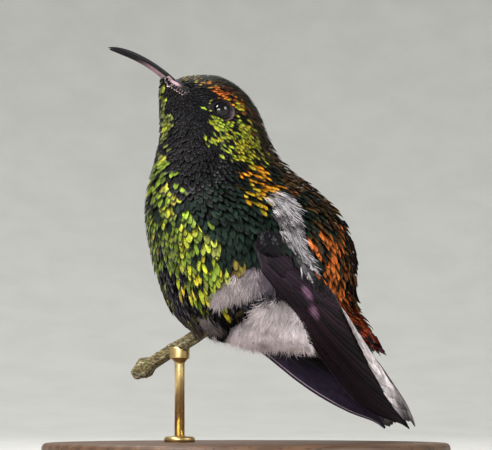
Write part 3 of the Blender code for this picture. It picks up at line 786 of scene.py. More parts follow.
def skin_finish():
    """Grey-pink skin with the coat's markings and painted glitter laid over it, and pores."""
    f = Finish("marked_skin", 0.62)
    tint, _ = f.attribute()
    fine = f.noise(f.place(), 1500.0, 4.0)
    colour = f.blend(f.smooth(fine, 0.3, 0.7, 0.25, 0.6), tint, (0.050, 0.036, 0.036))
    f.bumped(fine, 0.5, 0.0001)
    return f.done(colour, fine, 0.2, 0.8, 0.5, 0.7)


def eye_finish():
    """A wet, nearly black eye with a faint brown iris round its pupil."""
    f = Finish("eye_wet", 0.08, Specular_IOR_Level=0.2, Coat_Weight=0.35, Coat_Roughness=0.02)
    _, v = f.map()
    fibres = f.noise(f.place(), 3500.0)
    iris = f.blend(f.smooth(fibres, 0.3, 0.7), (0.030, 0.016, 0.008), (0.010, 0.006, 0.004))
    ring = f.maths("MULTIPLY", f.smooth(v, 0.30, 0.36), f.smooth(v, 0.52, 0.60, 1.0, 0.0))
    return f.done(f.blend(ring, (0.003, 0.0025, 0.003), iris), fibres, 0.2, 0.8, 0.05, 0.09)


def lid_finish():
    """Bare grey-mauve lid skin with paler pink grains at its corners."""
    f = Finish("lid_skin", 0.55, Specular_IOR_Level=0.15)
    tint, _ = f.attribute()
    grains = f.add("ShaderNodeTexVoronoi", {"Vector": f.place(), "Scale": 5200.0}).outputs["Distance"]
    pale = f.times(tint, (7.0, 5.4, 5.8))
    colour = f.blend(f.smooth(grains, 0.10, 0.34), pale, tint)
    f.bumped(grains, -0.6, 0.00012)
    return f.done(colour, grains, 0.0, 0.7, 0.42, 0.62)


def bill_finish():
    """Horn: black with a fine lengthwise grain, or pink at the root where the tint says so."""
    f = Finish("bill_horn", 0.36, Specular_IOR_Level=0.12, Coat_Weight=0.04, Coat_Roughness=0.2)
    tint, _ = f.attribute()
    fibre = f.noise(f.place((1.0, 0.22, 0.35), (0.35, 0.0, 0.0)), 5200.0, 4.0)
    wear = f.noise(f.place(), 900.0, 2.0)
    colour = f.blend(f.smooth(fibre, 0.45, 0.8, 0.0, 0.16), tint, (0.075, 0.066, 0.072))
    colour = f.times(colour, f.smooth(wear, 0.3, 0.7, 0.75, 1.2))
    f.bumped(fibre, 0.30, 0.00005)
    return f.done(colour, fibre, 0.25, 0.75, 0.28, 0.48)


def foot_finish():
    """Dark scaly toe skin, paler between the scales."""
    f = Finish("toe_scales", 0.5)
    _, v = f.map()
    scale = f.maths("FRACT", f.maths("MULTIPLY", v, 16.0))
    gap = f.smooth(f.maths("ABSOLUTE", f.maths("SUBTRACT", scale, 0.5)), 0.36, 0.49)
    fine = f.noise(f.place(), 3000.0)
    colour = f.blend(f.smooth(fine, 0.3, 0.7), (0.030, 0.018, 0.013), (0.075, 0.045, 0.030))
    colour = f.blend(f.maths("MULTIPLY", gap, 0.6), colour, (0.16, 0.10, 0.065))
    f.bumped(f.maths("SUBTRACT", fine, gap), 0.5, 0.00008)
    return f.done(colour, fine, 0.2, 0.8, 0.42, 0.6)


def bark_finish():
    """Olive-brown bark with pale ridges, dark furrows, grey lichen and pale cut wood."""
    f = Finish("twig_bark", 0.85, Specular_IOR_Level=0.25)
    tint, bare = f.attribute()
    streak = f.noise(f.place((0.25, 1.6, 1.6), (0.0, 0.367, -0.149)), 2600.0, 4.0, 0.65)
    spots = f.noise(f.place(), 520.0, 4.0, 0.6)
    colour = f.blend(f.smooth(streak, 0.38, 0.62), (0.030, 0.022, 0.012), tint)
    colour = f.blend(f.smooth(spots, 0.58, 0.70, 0.0, 0.65), colour, (0.26, 0.25, 0.18))
    colour = f.blend(f.smooth(spots, 0.30, 0.42, 0.75, 0.0), colour, (0.055, 0.075, 0.018))
    wood = f.blend(f.smooth(streak, 0.3, 0.7), (0.42, 0.31, 0.17), (0.60, 0.47, 0.29))
    colour = f.blend(bare, colour, wood)
    f.bumped(streak, 0.7, 0.00018)
    return f.done(colour, streak, 0.2, 0.8, 0.75, 0.95)


def wood_finish():
    """Dark stained wood with long grain, pores and a satin varnish."""
    f = Finish("stained_wood", 0.5, Specular_IOR_Level=0.3, Coat_Weight=0.10, Coat_Roughness=0.35)
    bend = f.noise(f.place((1.0, 0.12, 1.0)), 60.0)
    grain = {"Vector": f.place((1.0, 0.06, 0.5)), "Scale": 95.0, "Distortion": 5.0, "Detail": 3.0}
    rings = f.add("ShaderNodeTexWave", grain, bands_direction="X").outputs["Fac"]
    pores = f.noise(f.place((1.0, 0.035, 1.0)), 3200.0, 2.0)
    colour = f.blend(rings, (0.052, 0.024, 0.012), (0.115, 0.058, 0.028))
    colour = f.blend(f.smooth(bend, 0.35, 0.65, 0.0, 0.5), colour, (0.070, 0.036, 0.020))
    colour = f.blend(f.smooth(pores, 0.56, 0.66, 0.0, 0.8), colour, (0.022, 0.011, 0.006))
    f.bumped(pores, -0.15, 0.00005)
    return f.done(colour, pores, 0.3, 0.7, 0.46, 0.60)


def brass_finish():
    """Brushed brass, faintly tarnished."""
    f = Finish("brushed_brass", 0.3, 1.0)
    lines = f.noise(f.place((1.0, 1.0, 0.02)), 9000.0, 2.0)
    dull = f.noise(f.place(), 320.0)
    colour = f.blend(f.smooth(dull, 0.35, 0.7), (0.62, 0.46, 0.20), (0.36, 0.25, 0.11))
    f.bumped(lines, 0.12, 0.00002)
    return f.done(colour, dull, 0.3, 0.7, 0.24, 0.42)


def grained_finish(name, rough, stretch, scale, colours, roughness, **fixed):
    """Two shades blended by one grain: a claw's growth lines, or a matt board's mottle."""
    f = Finish(name, rough, **fixed)
    grain = f.noise(f.place(stretch), scale)
    return f.done(f.blend(f.smooth(grain, 0.3, 0.7), *colours), grain, 0.2, 0.8, *roughness)


# ---------------------------------------------------------------- the coat of shingled feathers
def coat_bell(t, angle, middle, reach, power):
    """One at a place on the coat, falling off with the distances from it, each to a power."""
    return np.exp(-(((t - middle[0]) / reach[0]) ** power + ((angle - middle[1]) / reach[1]) ** power))


def patch_share(t, angle, patch):
    """How strongly a patch holds each place.

    It is e to the minus its fall times the fourth power of the distance from its middle,
    measured in its reaches.
    """
    t_middle, angle_middle, t_reach, angle_reach = patch
    far = ((t - t_middle) / t_reach) ** 2 + ((angle - angle_middle) / angle_reach) ** 2
    return np.exp(-far ** 2 * MARK_FALL)


def markings_and_glitter(t, turn, dice, mixing):
    """Each feather's colour from its root's place: the bird's markings with painted reflection, its glitter.

    The ground is ink with a dark green band round the breast; each patch then claims a
    feather if its die is under the patch's share times how strongly it holds the place.
    """
    angle = fold_angle(turn)
    ground = ease(t, 7.0, 9.0) * (1 - ease(t, 11.5, 14.0))
    colour = between(INK, TEAL, ground[:, None])
    for n, (*patch, share, first, second) in enumerate(MARKS_AND_GLITTER):
        won = dice[:, n] < share * patch_share(t, angle, patch)
        shade = between(first, second, mixing[:, n % mixing.shape[1]][:, None])
        colour = np.where(won[:, None], shade, colour)
    for *patch, pale in PALE:
        share = patch_share(t, angle, patch)[:, None]
        colour = colour + (np.array(pale) - colour) * share * (dice[:, -1] < 0.97)[:, None]
    return colour


def rims(t, turn, dice):
    """Each feather's rim: grey-mauve on the throat, bronze on some of the back, dark elsewhere."""
    angle = fold_angle(turn)
    rim = np.tile(np.array([*INK, 1.0]), (len(t), 1))
    rim[:, 3] = 0.95 + 0.45 * (1 - ease(t, 6.5, 8.5))
    throat = coat_bell(t, angle, (3.6, 150), (4.1, 42), 4)
    rim[:, :3] = between(rim[:, :3], np.array(MAUVE) * 0.85, throat[:, None])
    rim[:, 3] = np.where(throat > 0.3, 0.30, rim[:, 3])
    belly = coat_bell(t, angle, (13, 180), (3.5, 22), 4)
    rim[:, :3] = between(rim[:, :3], np.array(MAUVE) * 0.35, belly[:, None])
    back = coat_bell(t, angle, (11.5, 0), (4.5, 75), 4)
    rim[:, :3] = between(rim[:, :3], BRONZE, (back * (dice < 0.3))[:, None])
    return rim


def by_side(t, turn, table):
    """A number from a table of stations with its value at the back, the side and the front."""
    table = np.asarray(table, dtype=float)
    back, side, front = (np.interp(t, table[:, 0], table[:, n]) for n in (1, 2, 3))
    c = np.cos(turn)
    share = c * c
    return side * (1 - share) + np.where(c > 0, back, front) * share


def plant_rows():
    """Roots of the coat's feathers, in staggered rows.

    Rows lie where the distance from the bill, measured in row steps, is a whole number; in
    each row the roots lie where the distance round it, measured in side steps, is whole.
    """
    stations = np.linspace(-0.6, LAST_STATION, 411)
    turns = np.linspace(0, FULL_TURN, 361)
    grid = outline(stations[:, None], turns[None, :])
    steps = by_side(stations[:, None], turns[None, :], ROW_STEP)
    lengths = np.linalg.norm(np.diff(grid, axis=0), axis=2) / ((steps[1:] + steps[:-1]) / 2)
    count = np.concatenate([np.zeros((1, len(turns))), np.cumsum(lengths, axis=0)])
    rows = np.arange(0.2, count.max())
    where = np.stack([np.interp(rows, column, stations, right=np.nan) for column in count.T], axis=1)
    roots = []
    for number, line in enumerate(where):
        held = ~np.isnan(line)
        t_line = np.where(held, line, LAST_STATION)
        ring = outline(t_line, turns)
        gaps = np.linalg.norm(np.diff(ring, axis=0), axis=1) / by_side(t_line[1:], turns[1:], SIDE_STEP)
        gaps = gaps * (held[1:] & held[:-1])
        walked = np.concatenate([[0], np.cumsum(gaps)])
        many = int(round(walked[-1]))
        if many < 3:
            continue
        spots = (np.arange(many) + 0.5 * (number % 2)) / many * walked[-1]
        turn = np.interp(spots, walked, turns)
        roots.append(np.stack([np.interp(turn, turns, t_line), turn], axis=1))
    return np.concatenate(roots)


def vane_points(t, turn, size, over):
    """Points of small feathers laid along the outline.

    A vane's width grows from its root, holds, and narrows by its pointedness; its tip is a
    parabola, nicked at random.  Its height rises from the skin to the outline and is bowed
    across.  Each point is moved along the outline by its distances over the local rates.
    """
    v = VANE_ROWS[None, :, None]
    u = VANE_COLUMNS[None, None, :]
    length, width, depth, point, lift, skew = (size[k][:, None, None] for k in
                                               ("length", "width", "depth", "point", "lift", "skew"))
    nick = rng.normal(0, 0.04, (len(t), 1, len(VANE_COLUMNS))) * v ** 4 * (0.1 + point)
    along = length * v * (1 - (0.20 + 0.25 * point) * u ** 2 * v + nick)
    spread = (0.30 + 0.70 * ease(v, 0.0, 0.35)) * (1 - point * 0.72 * v ** 2.4)
    across = width / 2 * u * spread
    height = -depth * (1 - v) ** 1.5 - 0.16 * width * u ** 2 + lift * v ** 3
    height = height + rng.normal(0, 0.035, (len(t), 1, 1)) * width
    _, _, rate_t, rate_turn = outline_frame(t, turn)
    rate_t = np.linalg.norm(rate_t, axis=-1)[:, None, None]
    rate_turn = np.linalg.norm(rate_turn, axis=-1)[:, None, None]
    t_all = t[:, None, None] + (along * np.cos(skew) - across * np.sin(skew)) / rate_t
    sideways = along * np.sin(skew) + across * np.cos(skew)
    turn_all = turn[:, None, None] + sideways / np.maximum(rate_turn, 0.8)
    t_all = np.clip(t_all, FIRST_STATION, LAST_STATION + 1.6)
    point_all, normal, _, _ = outline_frame(t_all, turn_all)
    return fitted(point_all + normal * height[..., None], over[:, None, None], COAT_ROOM)


def lay_of_coat(t, turn):
    """How far the feathers turn from the body's line, in radians, towards the back.

    On the cheeks they stream back rather than down.
    """
    angle = fold_angle(turn)
    cheek = coat_bell(t, angle, (5.0, 88), (2.6, 30), 2)
    return -np.radians(38) * cheek * np.where(np.sin(turn) < 0, -1, 1)


def gape_angle(t):
    """The angle from the back, in degrees, of the middle of the bare wedge behind the bill."""
    return 89.0 + 9.5 * t


def gape_reach(t):
    """Half the width, in degrees of the body's oval, of the bare wedge behind the bill."""
    return GAPE_OPEN * np.clip(1 - t / GAPE_LENGTH, 0, 1)


def placed_feathers():
    """Roots of feathers that are placed singly, left side first and then the right.

    They are the row of small pale-rimmed ones under each side of the bill's mouth line, and
    the broad tips over the tail's root.
    """
    t = np.linspace(-0.35, 1.60, CHIN_COUNT)
    angle = np.radians(gape_angle(t) + gape_reach(t) * 0.98 + 1.5)
    tips = np.array(COVERT_TIPS)
    tip_angle = np.radians(tips[:, 1])
    turns = [both_sides(a, side) for a in (angle, tip_angle) for _, side in SIDES]
    return np.concatenate([t, t, tips[:, 0], tips[:, 0]]), np.concatenate(turns)


def lid_distance(t, turn, skew):
    """How far a feather's root is from its own eye, and how far ahead of it the lids begin.

    The first is in lid rings.  In the plane of the ring the root and the lay are scaled by
    the ring's half lengths; the way to it is the smaller root of the unit circle's quadratic.
    """
    point, _, rate_t, rate_turn = outline_frame(t, turn)
    way = unit(rate_t) * np.cos(skew)[:, None] + unit(rate_turn) * np.sin(skew)[:, None]
    _, front, up = eye_axes(1)
    mirror = np.where(point[:, :1] < 0, -1.0, 1.0) * (1, 0, 0) + (0, 1, 1)
    plane = np.stack([front / LID_REACH[0], up / LID_REACH[1]])
    p = (point * mirror - EYE_CENTRE) @ plane.T
    q = (way * mirror) @ plane.T
    near = np.linalg.norm(point * mirror - EYE_CENTRE, axis=1) < 4.5
    a, b, c = (q * q).sum(1), (p * q).sum(1), (p * p).sum(1) - 1
    inner = b * b - a * c
    ahead = (-b - np.sqrt(np.maximum(inner, 0))) / np.maximum(a, 1e-6)
    ahead = np.where((inner > 0) & (ahead > 0) & near, ahead, FAR_OFF)
    return np.where(near, np.sqrt(c + 1), FAR_OFF), ahead


def coat_roots():
    """Roots of the whole coat, less what the eyes, the bill and the tail's root leave bare.

    Each row's feathers are shaken a little, more so down the body.  With each root go its
    skew, its eye's distance, how far ahead the lids begin, and its point on the outline.
    """
    roots = plant_rows()
    t, turn = roots[:, 0], roots[:, 1]
    step_t = by_side(t, turn, ROW_STEP)
    _, _, rate_t, rate_turn = outline_frame(t, turn)
    loose = 0.25 + 0.75 * ease(t, 6.5, 9.5)
    t = t + rng.normal(0, 0.16, len(t)) * loose * step_t / np.linalg.norm(rate_t, axis=1)
    turn = turn + (rng.normal(0, 0.10, len(t)) * loose * by_side(t, turn, SIDE_STEP)
                   / np.linalg.norm(rate_turn, axis=1))
    t = np.clip(t, -0.6, LAST_STATION)
    angle = fold_angle(turn)
    skew = lay_of_coat(t, turn) + rng.normal(0, 0.05, len(t))
    eye, until = lid_distance(t, turn, skew)
    beside = np.abs(angle - gape_angle(t)) - gape_reach(t)
    below = angle > gape_angle(t)
    keep = (eye > 1.0) & (beside > 0) & (t > np.where(below, -0.45, 0.02))
    keep = keep & ((t < 19.2) | (angle > 90))
    keep = keep & ((angle < gape_angle(t)) | (beside > 12) | (t > 1.8))
    return [a[keep] for a in (t, turn, skew, eye, until, outline(t, turn))]


def coat_feathers():
    """The whole coat's roots, sizes and colours, with the singly placed feathers last."""
    t, turn, skew, eye, until, point = coat_roots()
    row_t, row_turn = placed_feathers()
    many = len(row_t)
    t, turn = np.concatenate([t, row_t]), np.concatenate([turn, row_turn])
    eye, until = (np.concatenate([a, np.full(many, FAR_OFF)]) for a in (eye, until))
    point = np.concatenate([point, outline(row_t, row_turn)])
    leaning = np.arange(many) < CHIN_COUNT * 2
    skew = np.concatenate([skew, CHIN_SKEW * leaning * np.where(np.sin(row_turn) < 0, -1, 1)])
    angle = fold_angle(turn)
    number = np.arange(len(t)) - (len(t) - many)
    chin = (number >= 0) & (number < CHIN_COUNT * 2)
    tips = number >= CHIN_COUNT * 2
    own = np.tile(np.array(COVERT_TIPS)[:, 2:], (2, 1))[np.clip(number - CHIN_COUNT * 2, 0, None)]
    short = (angle > gape_angle(t)) & (t < 0.05)
    length = by_side(t, turn, LENGTH) * rng.normal(1, 0.08, len(t))
    near_eye = ease(eye, 1.0, 1.9)
    length = np.minimum(length * (0.5 + 0.5 * near_eye), until + 0.12)
    length = np.where(short, 0.7, length)
    length = np.where(chin, CHIN_SIZE[0], np.where(tips, own[:, 0], length))
    cheek = coat_bell(t, angle, (5.2, 85), (2.4, 26), 2)
    broad = by_side(t, turn, SIDE_STEP) * (1.46 - 0.22 * cheek)
    size = {
        "length": length,
        "width": np.where(chin, CHIN_SIZE[1], np.where(tips, own[:, 1], broad)) * rng.normal(1, 0.06, len(t)),
        "depth": by_side(t, turn, DEPTH) * (0.55 + 0.45 * near_eye),
        "point": np.clip(by_side(t, turn, POINT) + rng.normal(0, 0.06, len(t)), 0, 1),
        "lift": by_side(t, turn, LIFT) * rng.uniform(0.2, 1.3, len(t)) + 0.10 * chin + 0.85 * tips,
        "skew": skew,
    }
    along, offset = on_wing_line(point)
    _, _, up, _ = wing_sheet(along, offset)
    over = (along < 10.5) & (offset > up + 0.1)
    dice = rng.uniform(0, 1, (len(t), len(MARKS_AND_GLITTER) + 1))
    mixing = rng.uniform(0, 1, (len(t), HUE_DICE))
    darkest = 0.40 + 0.08 * ease(t, 7.0, 11.0)
    tint = markings_and_glitter(t, turn, dice, mixing) * rng.uniform(darkest, 1.15)[:, None]
    rim = np.where(chin[:, None], (*ROSE, 1.0), rims(t, turn, dice[:, -1]))
    tint = np.where(chin[:, None], INK, tint)
    tint = np.where(tips[:, None], own[:, 2:5], tint)
    return t, turn, size, over, tint, rim


def bake_map(t, turn, local):
    """A small patch for each feather at its root's place on the skin's own unwrap."""
    root = np.stack([(turn / FULL_TURN) % 1.0 * 0.99, t / (LAST_STATION + 0.5)], axis=-1)
    return root[:, None, :] + BAKE_PATCH * local


def add_coat(materials):
    """The coat in five pieces, from the head to the tail coverts."""
    t, turn, size, over, tint, rim = coat_feathers()
    local = np.stack(np.meshgrid((VANE_COLUMNS + 1) / 2, VANE_ROWS), axis=-1).reshape(-1, 2)
    quads = grid_faces(len(VANE_ROWS), len(VANE_COLUMNS))
    for name, low, high, slot in COAT_PIECES:
        held = (t >= low) & (t < high)
        points = vane_points(t[held], turn[held], {k: s[held] for k, s in size.items()}, over[held])
        many, each = held.sum(), len(local)
        faces = (quads[None] + (np.arange(many) * each)[:, None, None]).reshape(-1, 4)
        colours = {**tinted(np.repeat(tint[held], each, axis=0)), "rim": np.repeat(rim[held], each, axis=0)}
        maps = {"vane": np.tile(local, (many, 1)), "OFBake": bake_map(t[held], turn[held], local[None])}
        add_piece(name, points, faces, materials["plumage"], slot, maps=maps, colours=colours)


# ---------------------------------------------------------------- skin
def add_skin(materials):
    """One closed skin under the whole coat, from the bill's root to the tail's root.

    The outline less the coat's depth and a little more along its normal, sunk round each
    eye, pressed clear of the wings and the twig, with its ends closed to a point.
    """
    t, turn = np.meshgrid(np.linspace(FIRST_STATION, LAST_STATION, 156), turns_round(128), indexing="ij")
    point, normal, _, _ = outline_frame(t, turn)
    depth = by_side(t, turn, DEPTH) * 1.05 + 0.05
    eye, _ = lid_distance(t.ravel(), turn.ravel(), np.zeros(t.size))
    depth = depth + SOCKET_DEPTH * (1 - ease(eye, 0.95, 1.4)).reshape(t.shape)
    rings = fitted(point - normal * depth[..., None], np.zeros(t.shape, bool), SKIN_ROOM)
    points, faces = closed_tube(rings)
    dice = np.full((t.size, len(MARKS_AND_GLITTER) + 1), 0.45)
    # The coat's markings and painted glitter, darker on the skin.
    tint = markings_and_glitter(t.ravel(), turn.ravel(), dice, np.full((t.size, HUE_DICE), 0.5)) * 0.6
    skin = add_piece("skin", points, faces, materials["skin"], "body_plumage",
                     colours=tinted(with_ends(tint)))
    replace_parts(skin, "head", "neck", "trunk", "tail_coverts", "thigh_left", "thigh_right")


# ---------------------------------------------------------------- downy puffs
def barb_tufts(name, t, turn, length, lay, fall, spread, stand, tint, materials, over=False, barbs=9):
    """Downy feathers, each a fan of thin tapering barbs from one root.

    A barb runs from its root on the skin along the coat's lay turned by its place in the
    fan, rises off the body by its stand, and falls with the square of the way along it.
    Barbs that would touch the twig or the toes are left out.
    """
    many = len(t)
    point, normal, rate_t, rate_turn = outline_frame(t, turn)
    along = unit(rate_t)
    around = unit(rate_turn)
    fan = (np.linspace(-1, 1, barbs)[None, :] + rng.normal(0, 0.15, (many, barbs))) * spread
    heading = lay[:, None] + fan
    way = along[:, None, :] * np.cos(heading)[..., None] + around[:, None, :] * np.sin(heading)[..., None]
    reach = length[:, None] * rng.uniform(0.6, 1.1, (many, barbs)) * (1 - 0.25 * np.abs(fan) / spread)
    reach = reach[..., None, None]
    v = BARB_ROWS[None, None, :, None]
    rise = rng.uniform(0.3, 1.1, (many, barbs))[..., None, None] * np.reshape(stand, (-1, 1, 1, 1))
    depth = by_side(t, turn, DEPTH)[:, None, None, None]
    curl = rng.normal(0, 0.10, (many, barbs))[..., None, None] * v * v
    side = np.cross(way, normal[:, None, :])
    path = (point[:, None, None, :] + way[:, :, None, :] * (reach * v) + side[:, :, None, :] * (reach * curl)
            + normal[:, None, None, :] * (-depth * (1 - v) ** 1.5 + rise * np.sin(v * 2.2)))
    path[..., 2] -= (np.reshape(fall, (-1, 1, 1, 1)) * reach * v ** 2)[..., 0]
    thin = 0.055 * (1 - 0.8 * BARB_ROWS) * rng.uniform(0.7, 1.3, (many, barbs, 1))
    edges = np.array([-1.0, 1.0])
    strip = path[:, :, :, None, :] + side[:, :, None, None, :] * (thin[..., None] * edges)[..., None]
    strip = beside_wing(strip, over, BARB_ROOM, WING_EDGE_SLOPE if over else 0.7)
    clear = off_twig(strip).reshape(many, barbs, -1).min(axis=2) > TOE_RING + 0.2
    rows = len(BARB_ROWS)
    local = np.stack(np.meshgrid([0.0, 1.0], BARB_ROWS), axis=-1).reshape(1, 1, -1, 2)
    local = np.broadcast_to(local, (many, barbs, rows * 2, 2))
    fanned = local.copy()
    fanned[..., 0] = (np.arange(barbs)[None, :, None] + local[..., 0]) / barbs
    patch = bake_map(t, turn, fanned.reshape(many, -1, 2)).reshape(many, barbs, rows * 2, 2)
    tints = np.broadcast_to(tinted(tint)["tint"][:, None, None], (many, barbs, rows * 2, 4))
    count = int(clear.sum())
    faces = (grid_faces(rows, 2)[None] + (np.arange(count) * rows * 2)[:, None, None]).reshape(-1, 4)
    return add_piece(name, strip[clear], faces, materials["down"], "downy_plumage",
                     maps={"vane": local[clear], "OFBake": patch[clear]}, colours={"tint": tints[clear]})


def scatter(count, t_span, angle_span):
    """Roots strewn evenly over a span of stations and of angles in degrees from the back."""
    t = rng.uniform(*t_span, count)
    return t, np.radians(rng.uniform(*angle_span, count))


def shaded_down(count, first, second):
    """Down colours between two, each a little lighter or darker."""
    share = rng.uniform(0, 1, (count, 1))
    return (np.array(first) * (1 - share) + np.array(second) * share) * rng.uniform(0.85, 1.15, (count, 1))


def add_flank_down(label, side, loft, materials):
    """The grey-white puff before each wing's bend, a band that slopes down to the belly.

    An oval of the band's own measures, ragged at its rim; lumps swing length and lay.  Its colour carries
    painted shade: lighter on the lumps, darker towards the rim and towards its lower end, and it is duskier
    on its side towards the back.
    """
    t, angle = scatter(1500, (0, 1), (103, 151))
    far = (t * 2 - 1) ** 2 + ((angle - math.radians(127)) / math.radians(23)) ** 2
    first = np.interp(np.degrees(angle), (104, 118, 134, 150), (12.5, 12.6, 13.15, 13.9))
    t = first + (np.interp(np.degrees(angle), (104, 125, 150), (13.5, 14.0, 14.5)) - first) * t
    held = far < rng.uniform(0.3, 1, len(t))
    t, angle, far = t[held], angle[held], far[held]
    lump = ripple(outline(t, angle), 2.6, 5)
    # Painted shade: lighter on the lumps and darker towards the puff's rim.
    shade = 1 + 0.4 * lump - 0.35 * far
    tint = shaded_down(len(t), (0.42, 0.36, 0.355), (0.17, 0.14, 0.145)) * shade[:, None]
    # Duskier on the side towards the back; the added term below is painted shade towards the lower end.
    dusky = 1 - ease(np.degrees(angle) + rng.normal(0, 3, len(t)), 113, 125)
    dusky = np.clip(dusky + ease(t, 13.8, 14.4) * 0.3, 0, 1)
    tint = between(tint, (0.11, 0.085, 0.11), dusky[:, None])
    reach = rng.uniform(1.3, 2.7, len(t)) * (1 + 0.3 * lump) * (1 - 0.35 * ease(t, 13.2, 14.0))
    lay = side * (0.2 + 0.45 * lump + rng.normal(0, 0.2, len(t)))
    fall = rng.uniform(0.0, 0.3, len(t))
    barb_tufts(f"flank_down_{label}", t, both_sides(angle, side), reach, lay, fall, 0.55,
               loft * (0.7 + 0.5 * lump), tint, materials)


def add_vent_down(label, side, loft, materials):
    """The white puff from the thigh to under the tail, streaming back from the body's line."""
    last = 172 if side > 0 else 148
    t, angle = scatter(48 * (last - 82), (14.1, 18.2), (82, last))
    first = np.interp(np.degrees(angle), (82, 112, 132, 143, 160, 172), (14.2, 14.3, 15.15, 15.6, 15.9, 16.0))
    far = np.abs((t * 2 - first - 18.2) / (18.2 - first)) ** 3
    far = far + np.abs((angle - math.radians(129)) / math.radians(46)) ** 3
    held = far < rng.uniform(0.6, 1, len(t))
    t, angle = t[held], angle[held]
    lump = ripple(outline(t, angle), 3.2, 8)
    lean = 0.95 * (1 - ease(t, 15.0, 17.8))
    # Painted shade: darker at the puff's front end, by the flank puff, and towards its underside, and lighter
    # on the lumps.
    painted_shade = 0.25 * ease(-t, -15.2, -14.2) + 0.15 * ease(np.degrees(angle), 150, 168)
    tint = shaded_down(len(t), DOWN, (0.55, 0.46, 0.48)) * (0.95 + 0.28 * lump - painted_shade)[:, None]
    reach = rng.uniform(1.5, 3.1, len(t)) * (1 + 0.25 * lump)
    lay = side * (lean + 0.4 * lump + rng.normal(0, 0.2, len(t)))
    fall = rng.uniform(0.0, 0.4, len(t))
    barb_tufts(f"vent_down_{label}", t, both_sides(angle, side), reach, lay, fall, 0.5,
               loft * (0.7 + 0.4 * lump), tint, materials)


def add_belly_tufts(materials):
    """The long fringe of the left vent puff, and a dark tuft between belly and twig: dusky down, darker still
    as painted shade under the belly.
    """
    t, angle = scatter(150, (16.2, 18.0), (152, 172))
    reach, lay = rng.uniform(2.2, 3.6, len(t)), 0.9 + rng.normal(0, 0.25, len(t))
    fall = rng.uniform(0.3, 0.6, len(t))
    barb_tufts("fringe_down", t, angle, reach, lay, fall, 0.3, 0.5,
               shaded_down(len(t), DOWN, (0.5, 0.43, 0.44)), materials, barbs=6)
    # Dusky down, darkened further as painted shade in the gap under the belly.
    t, angle = scatter(130, (14.9, 15.6), (158, 168))
    reach, lay = rng.uniform(0.9, 1.8, len(t)), rng.normal(0.1, 0.3, len(t))
    fall = rng.uniform(0.2, 0.5, len(t))
    barb_tufts("belly_down", t, angle, reach, lay, fall, 0.5, 0.4,
               shaded_down(len(t), (0.17, 0.135, 0.125), (0.06, 0.05, 0.05)), materials)


def add_side_down(label, side, materials):
    """The streaky pale and dark tuft that drapes over each wing's root."""
    many = 300
    share = rng.uniform(0, 1, many)
    places = (0.0, 0.35, 0.55, 0.8, 1.0)
    t = np.interp(share, places, (9.6, 10.8, 11.6, 12.5, 13.2)) + rng.normal(0, 0.15, many)
    aside = np.clip(rng.normal(0, 1, many), -1.7, 1.7)
    angle = np.radians(np.interp(share, places, (84.0, 91.5, 94.0, 91.5, 87.0)) + aside * (4.6 - 2.4 * share))
    pale = rng.uniform(0, 1, (many, 1)) < 0.44 + 0.25 * (share > 0.8)[:, None]
    tint = np.where(pale, (0.60, 0.56, 0.58), np.array(SMOKE) * 0.35) * rng.uniform(0.55, 1.1, (many, 1))
    reach = rng.uniform(1.8, 3.8, many)
    lay = side * (rng.normal(-0.05, 0.16, many) - 0.4 * ease(share, 0.4, 0.8))
    fall = rng.uniform(0.0, 0.15, many)
    barb_tufts(f"side_down_{label}", t, both_sides(angle, side), reach, lay, fall, 0.22, 0.6,
               tint, materials, over=True, barbs=8)


def add_puffs(materials):
    """All the down: flank and vent puffs, belly tufts, and the tufts over each wing's root."""
    for label, side in SIDES:
        loft = 1.0 if side > 0 else 0.4
        add_flank_down(label, side, loft, materials)
        add_vent_down(label, side, loft, materials)
        if side > 0:
            add_belly_tufts(materials)
        add_side_down(label, side, materials)


# ---------------------------------------------------------------- long feathers
def quill(path, left, right, lift, thick, place):
    """One long feather as a thin closed blade, in the flat measures of the wing or the tail.

    Its points are the shaft's path plus the width to either side times the column; its height
    is its layer, bowed down to the edges and raised along the shaft.
    """
    v = np.linspace(0, 1, len(path))
    ahead = np.gradient(path, axis=0)
    ahead /= np.linalg.norm(ahead, axis=1, keepdims=True)
    sideways = np.stack([-ahead[:, 1], ahead[:, 0]], axis=1)
    columns = QUILL_COLUMNS
    wide = np.where(columns[None, :] < 0, left[:, None], right[:, None])
    flat = path[:, None, :] + sideways[:, None, :] * (wide * columns[None, :])[..., None]
    ridge = 0.07 * np.exp(-(columns / 0.06) ** 2)[None, :] * (1 - 0.8 * v[:, None])
    rim = np.sqrt(np.clip(1 - columns ** 2, 0, 1))[None, :]
    bow = -0.10 * columns[None, :] ** 2 * np.minimum(wide, 1.2)
    half = thick / 2 * (0.35 + 0.65 * rim)
    top = place(flat, lift[:, None] + bow + half + ridge)
    under = place(flat, lift[:, None] + bow - half)
    ring = np.concatenate([top, under[:, ::-1]], axis=1)
    u = (columns + 1) / 2
    local = np.stack(np.broadcast_arrays(np.concatenate([u, u[::-1]])[None, :], v[:, None]), axis=-1)
    return ring, local, np.concatenate([flat, flat[:, ::-1]], axis=1)


def quill_width(v, full, point=0.5):
    """Width along a feather: narrow at the quill, full in the middle, drawn in to a rounded tip."""
    drawn_in = np.sqrt(np.clip(1 - ((v - point) / (1 - point)).clip(0, 1) ** 2.6, 0.012, 1))
    return full * (0.35 + 0.65 * ease(v, 0.0, 0.25)) * drawn_in


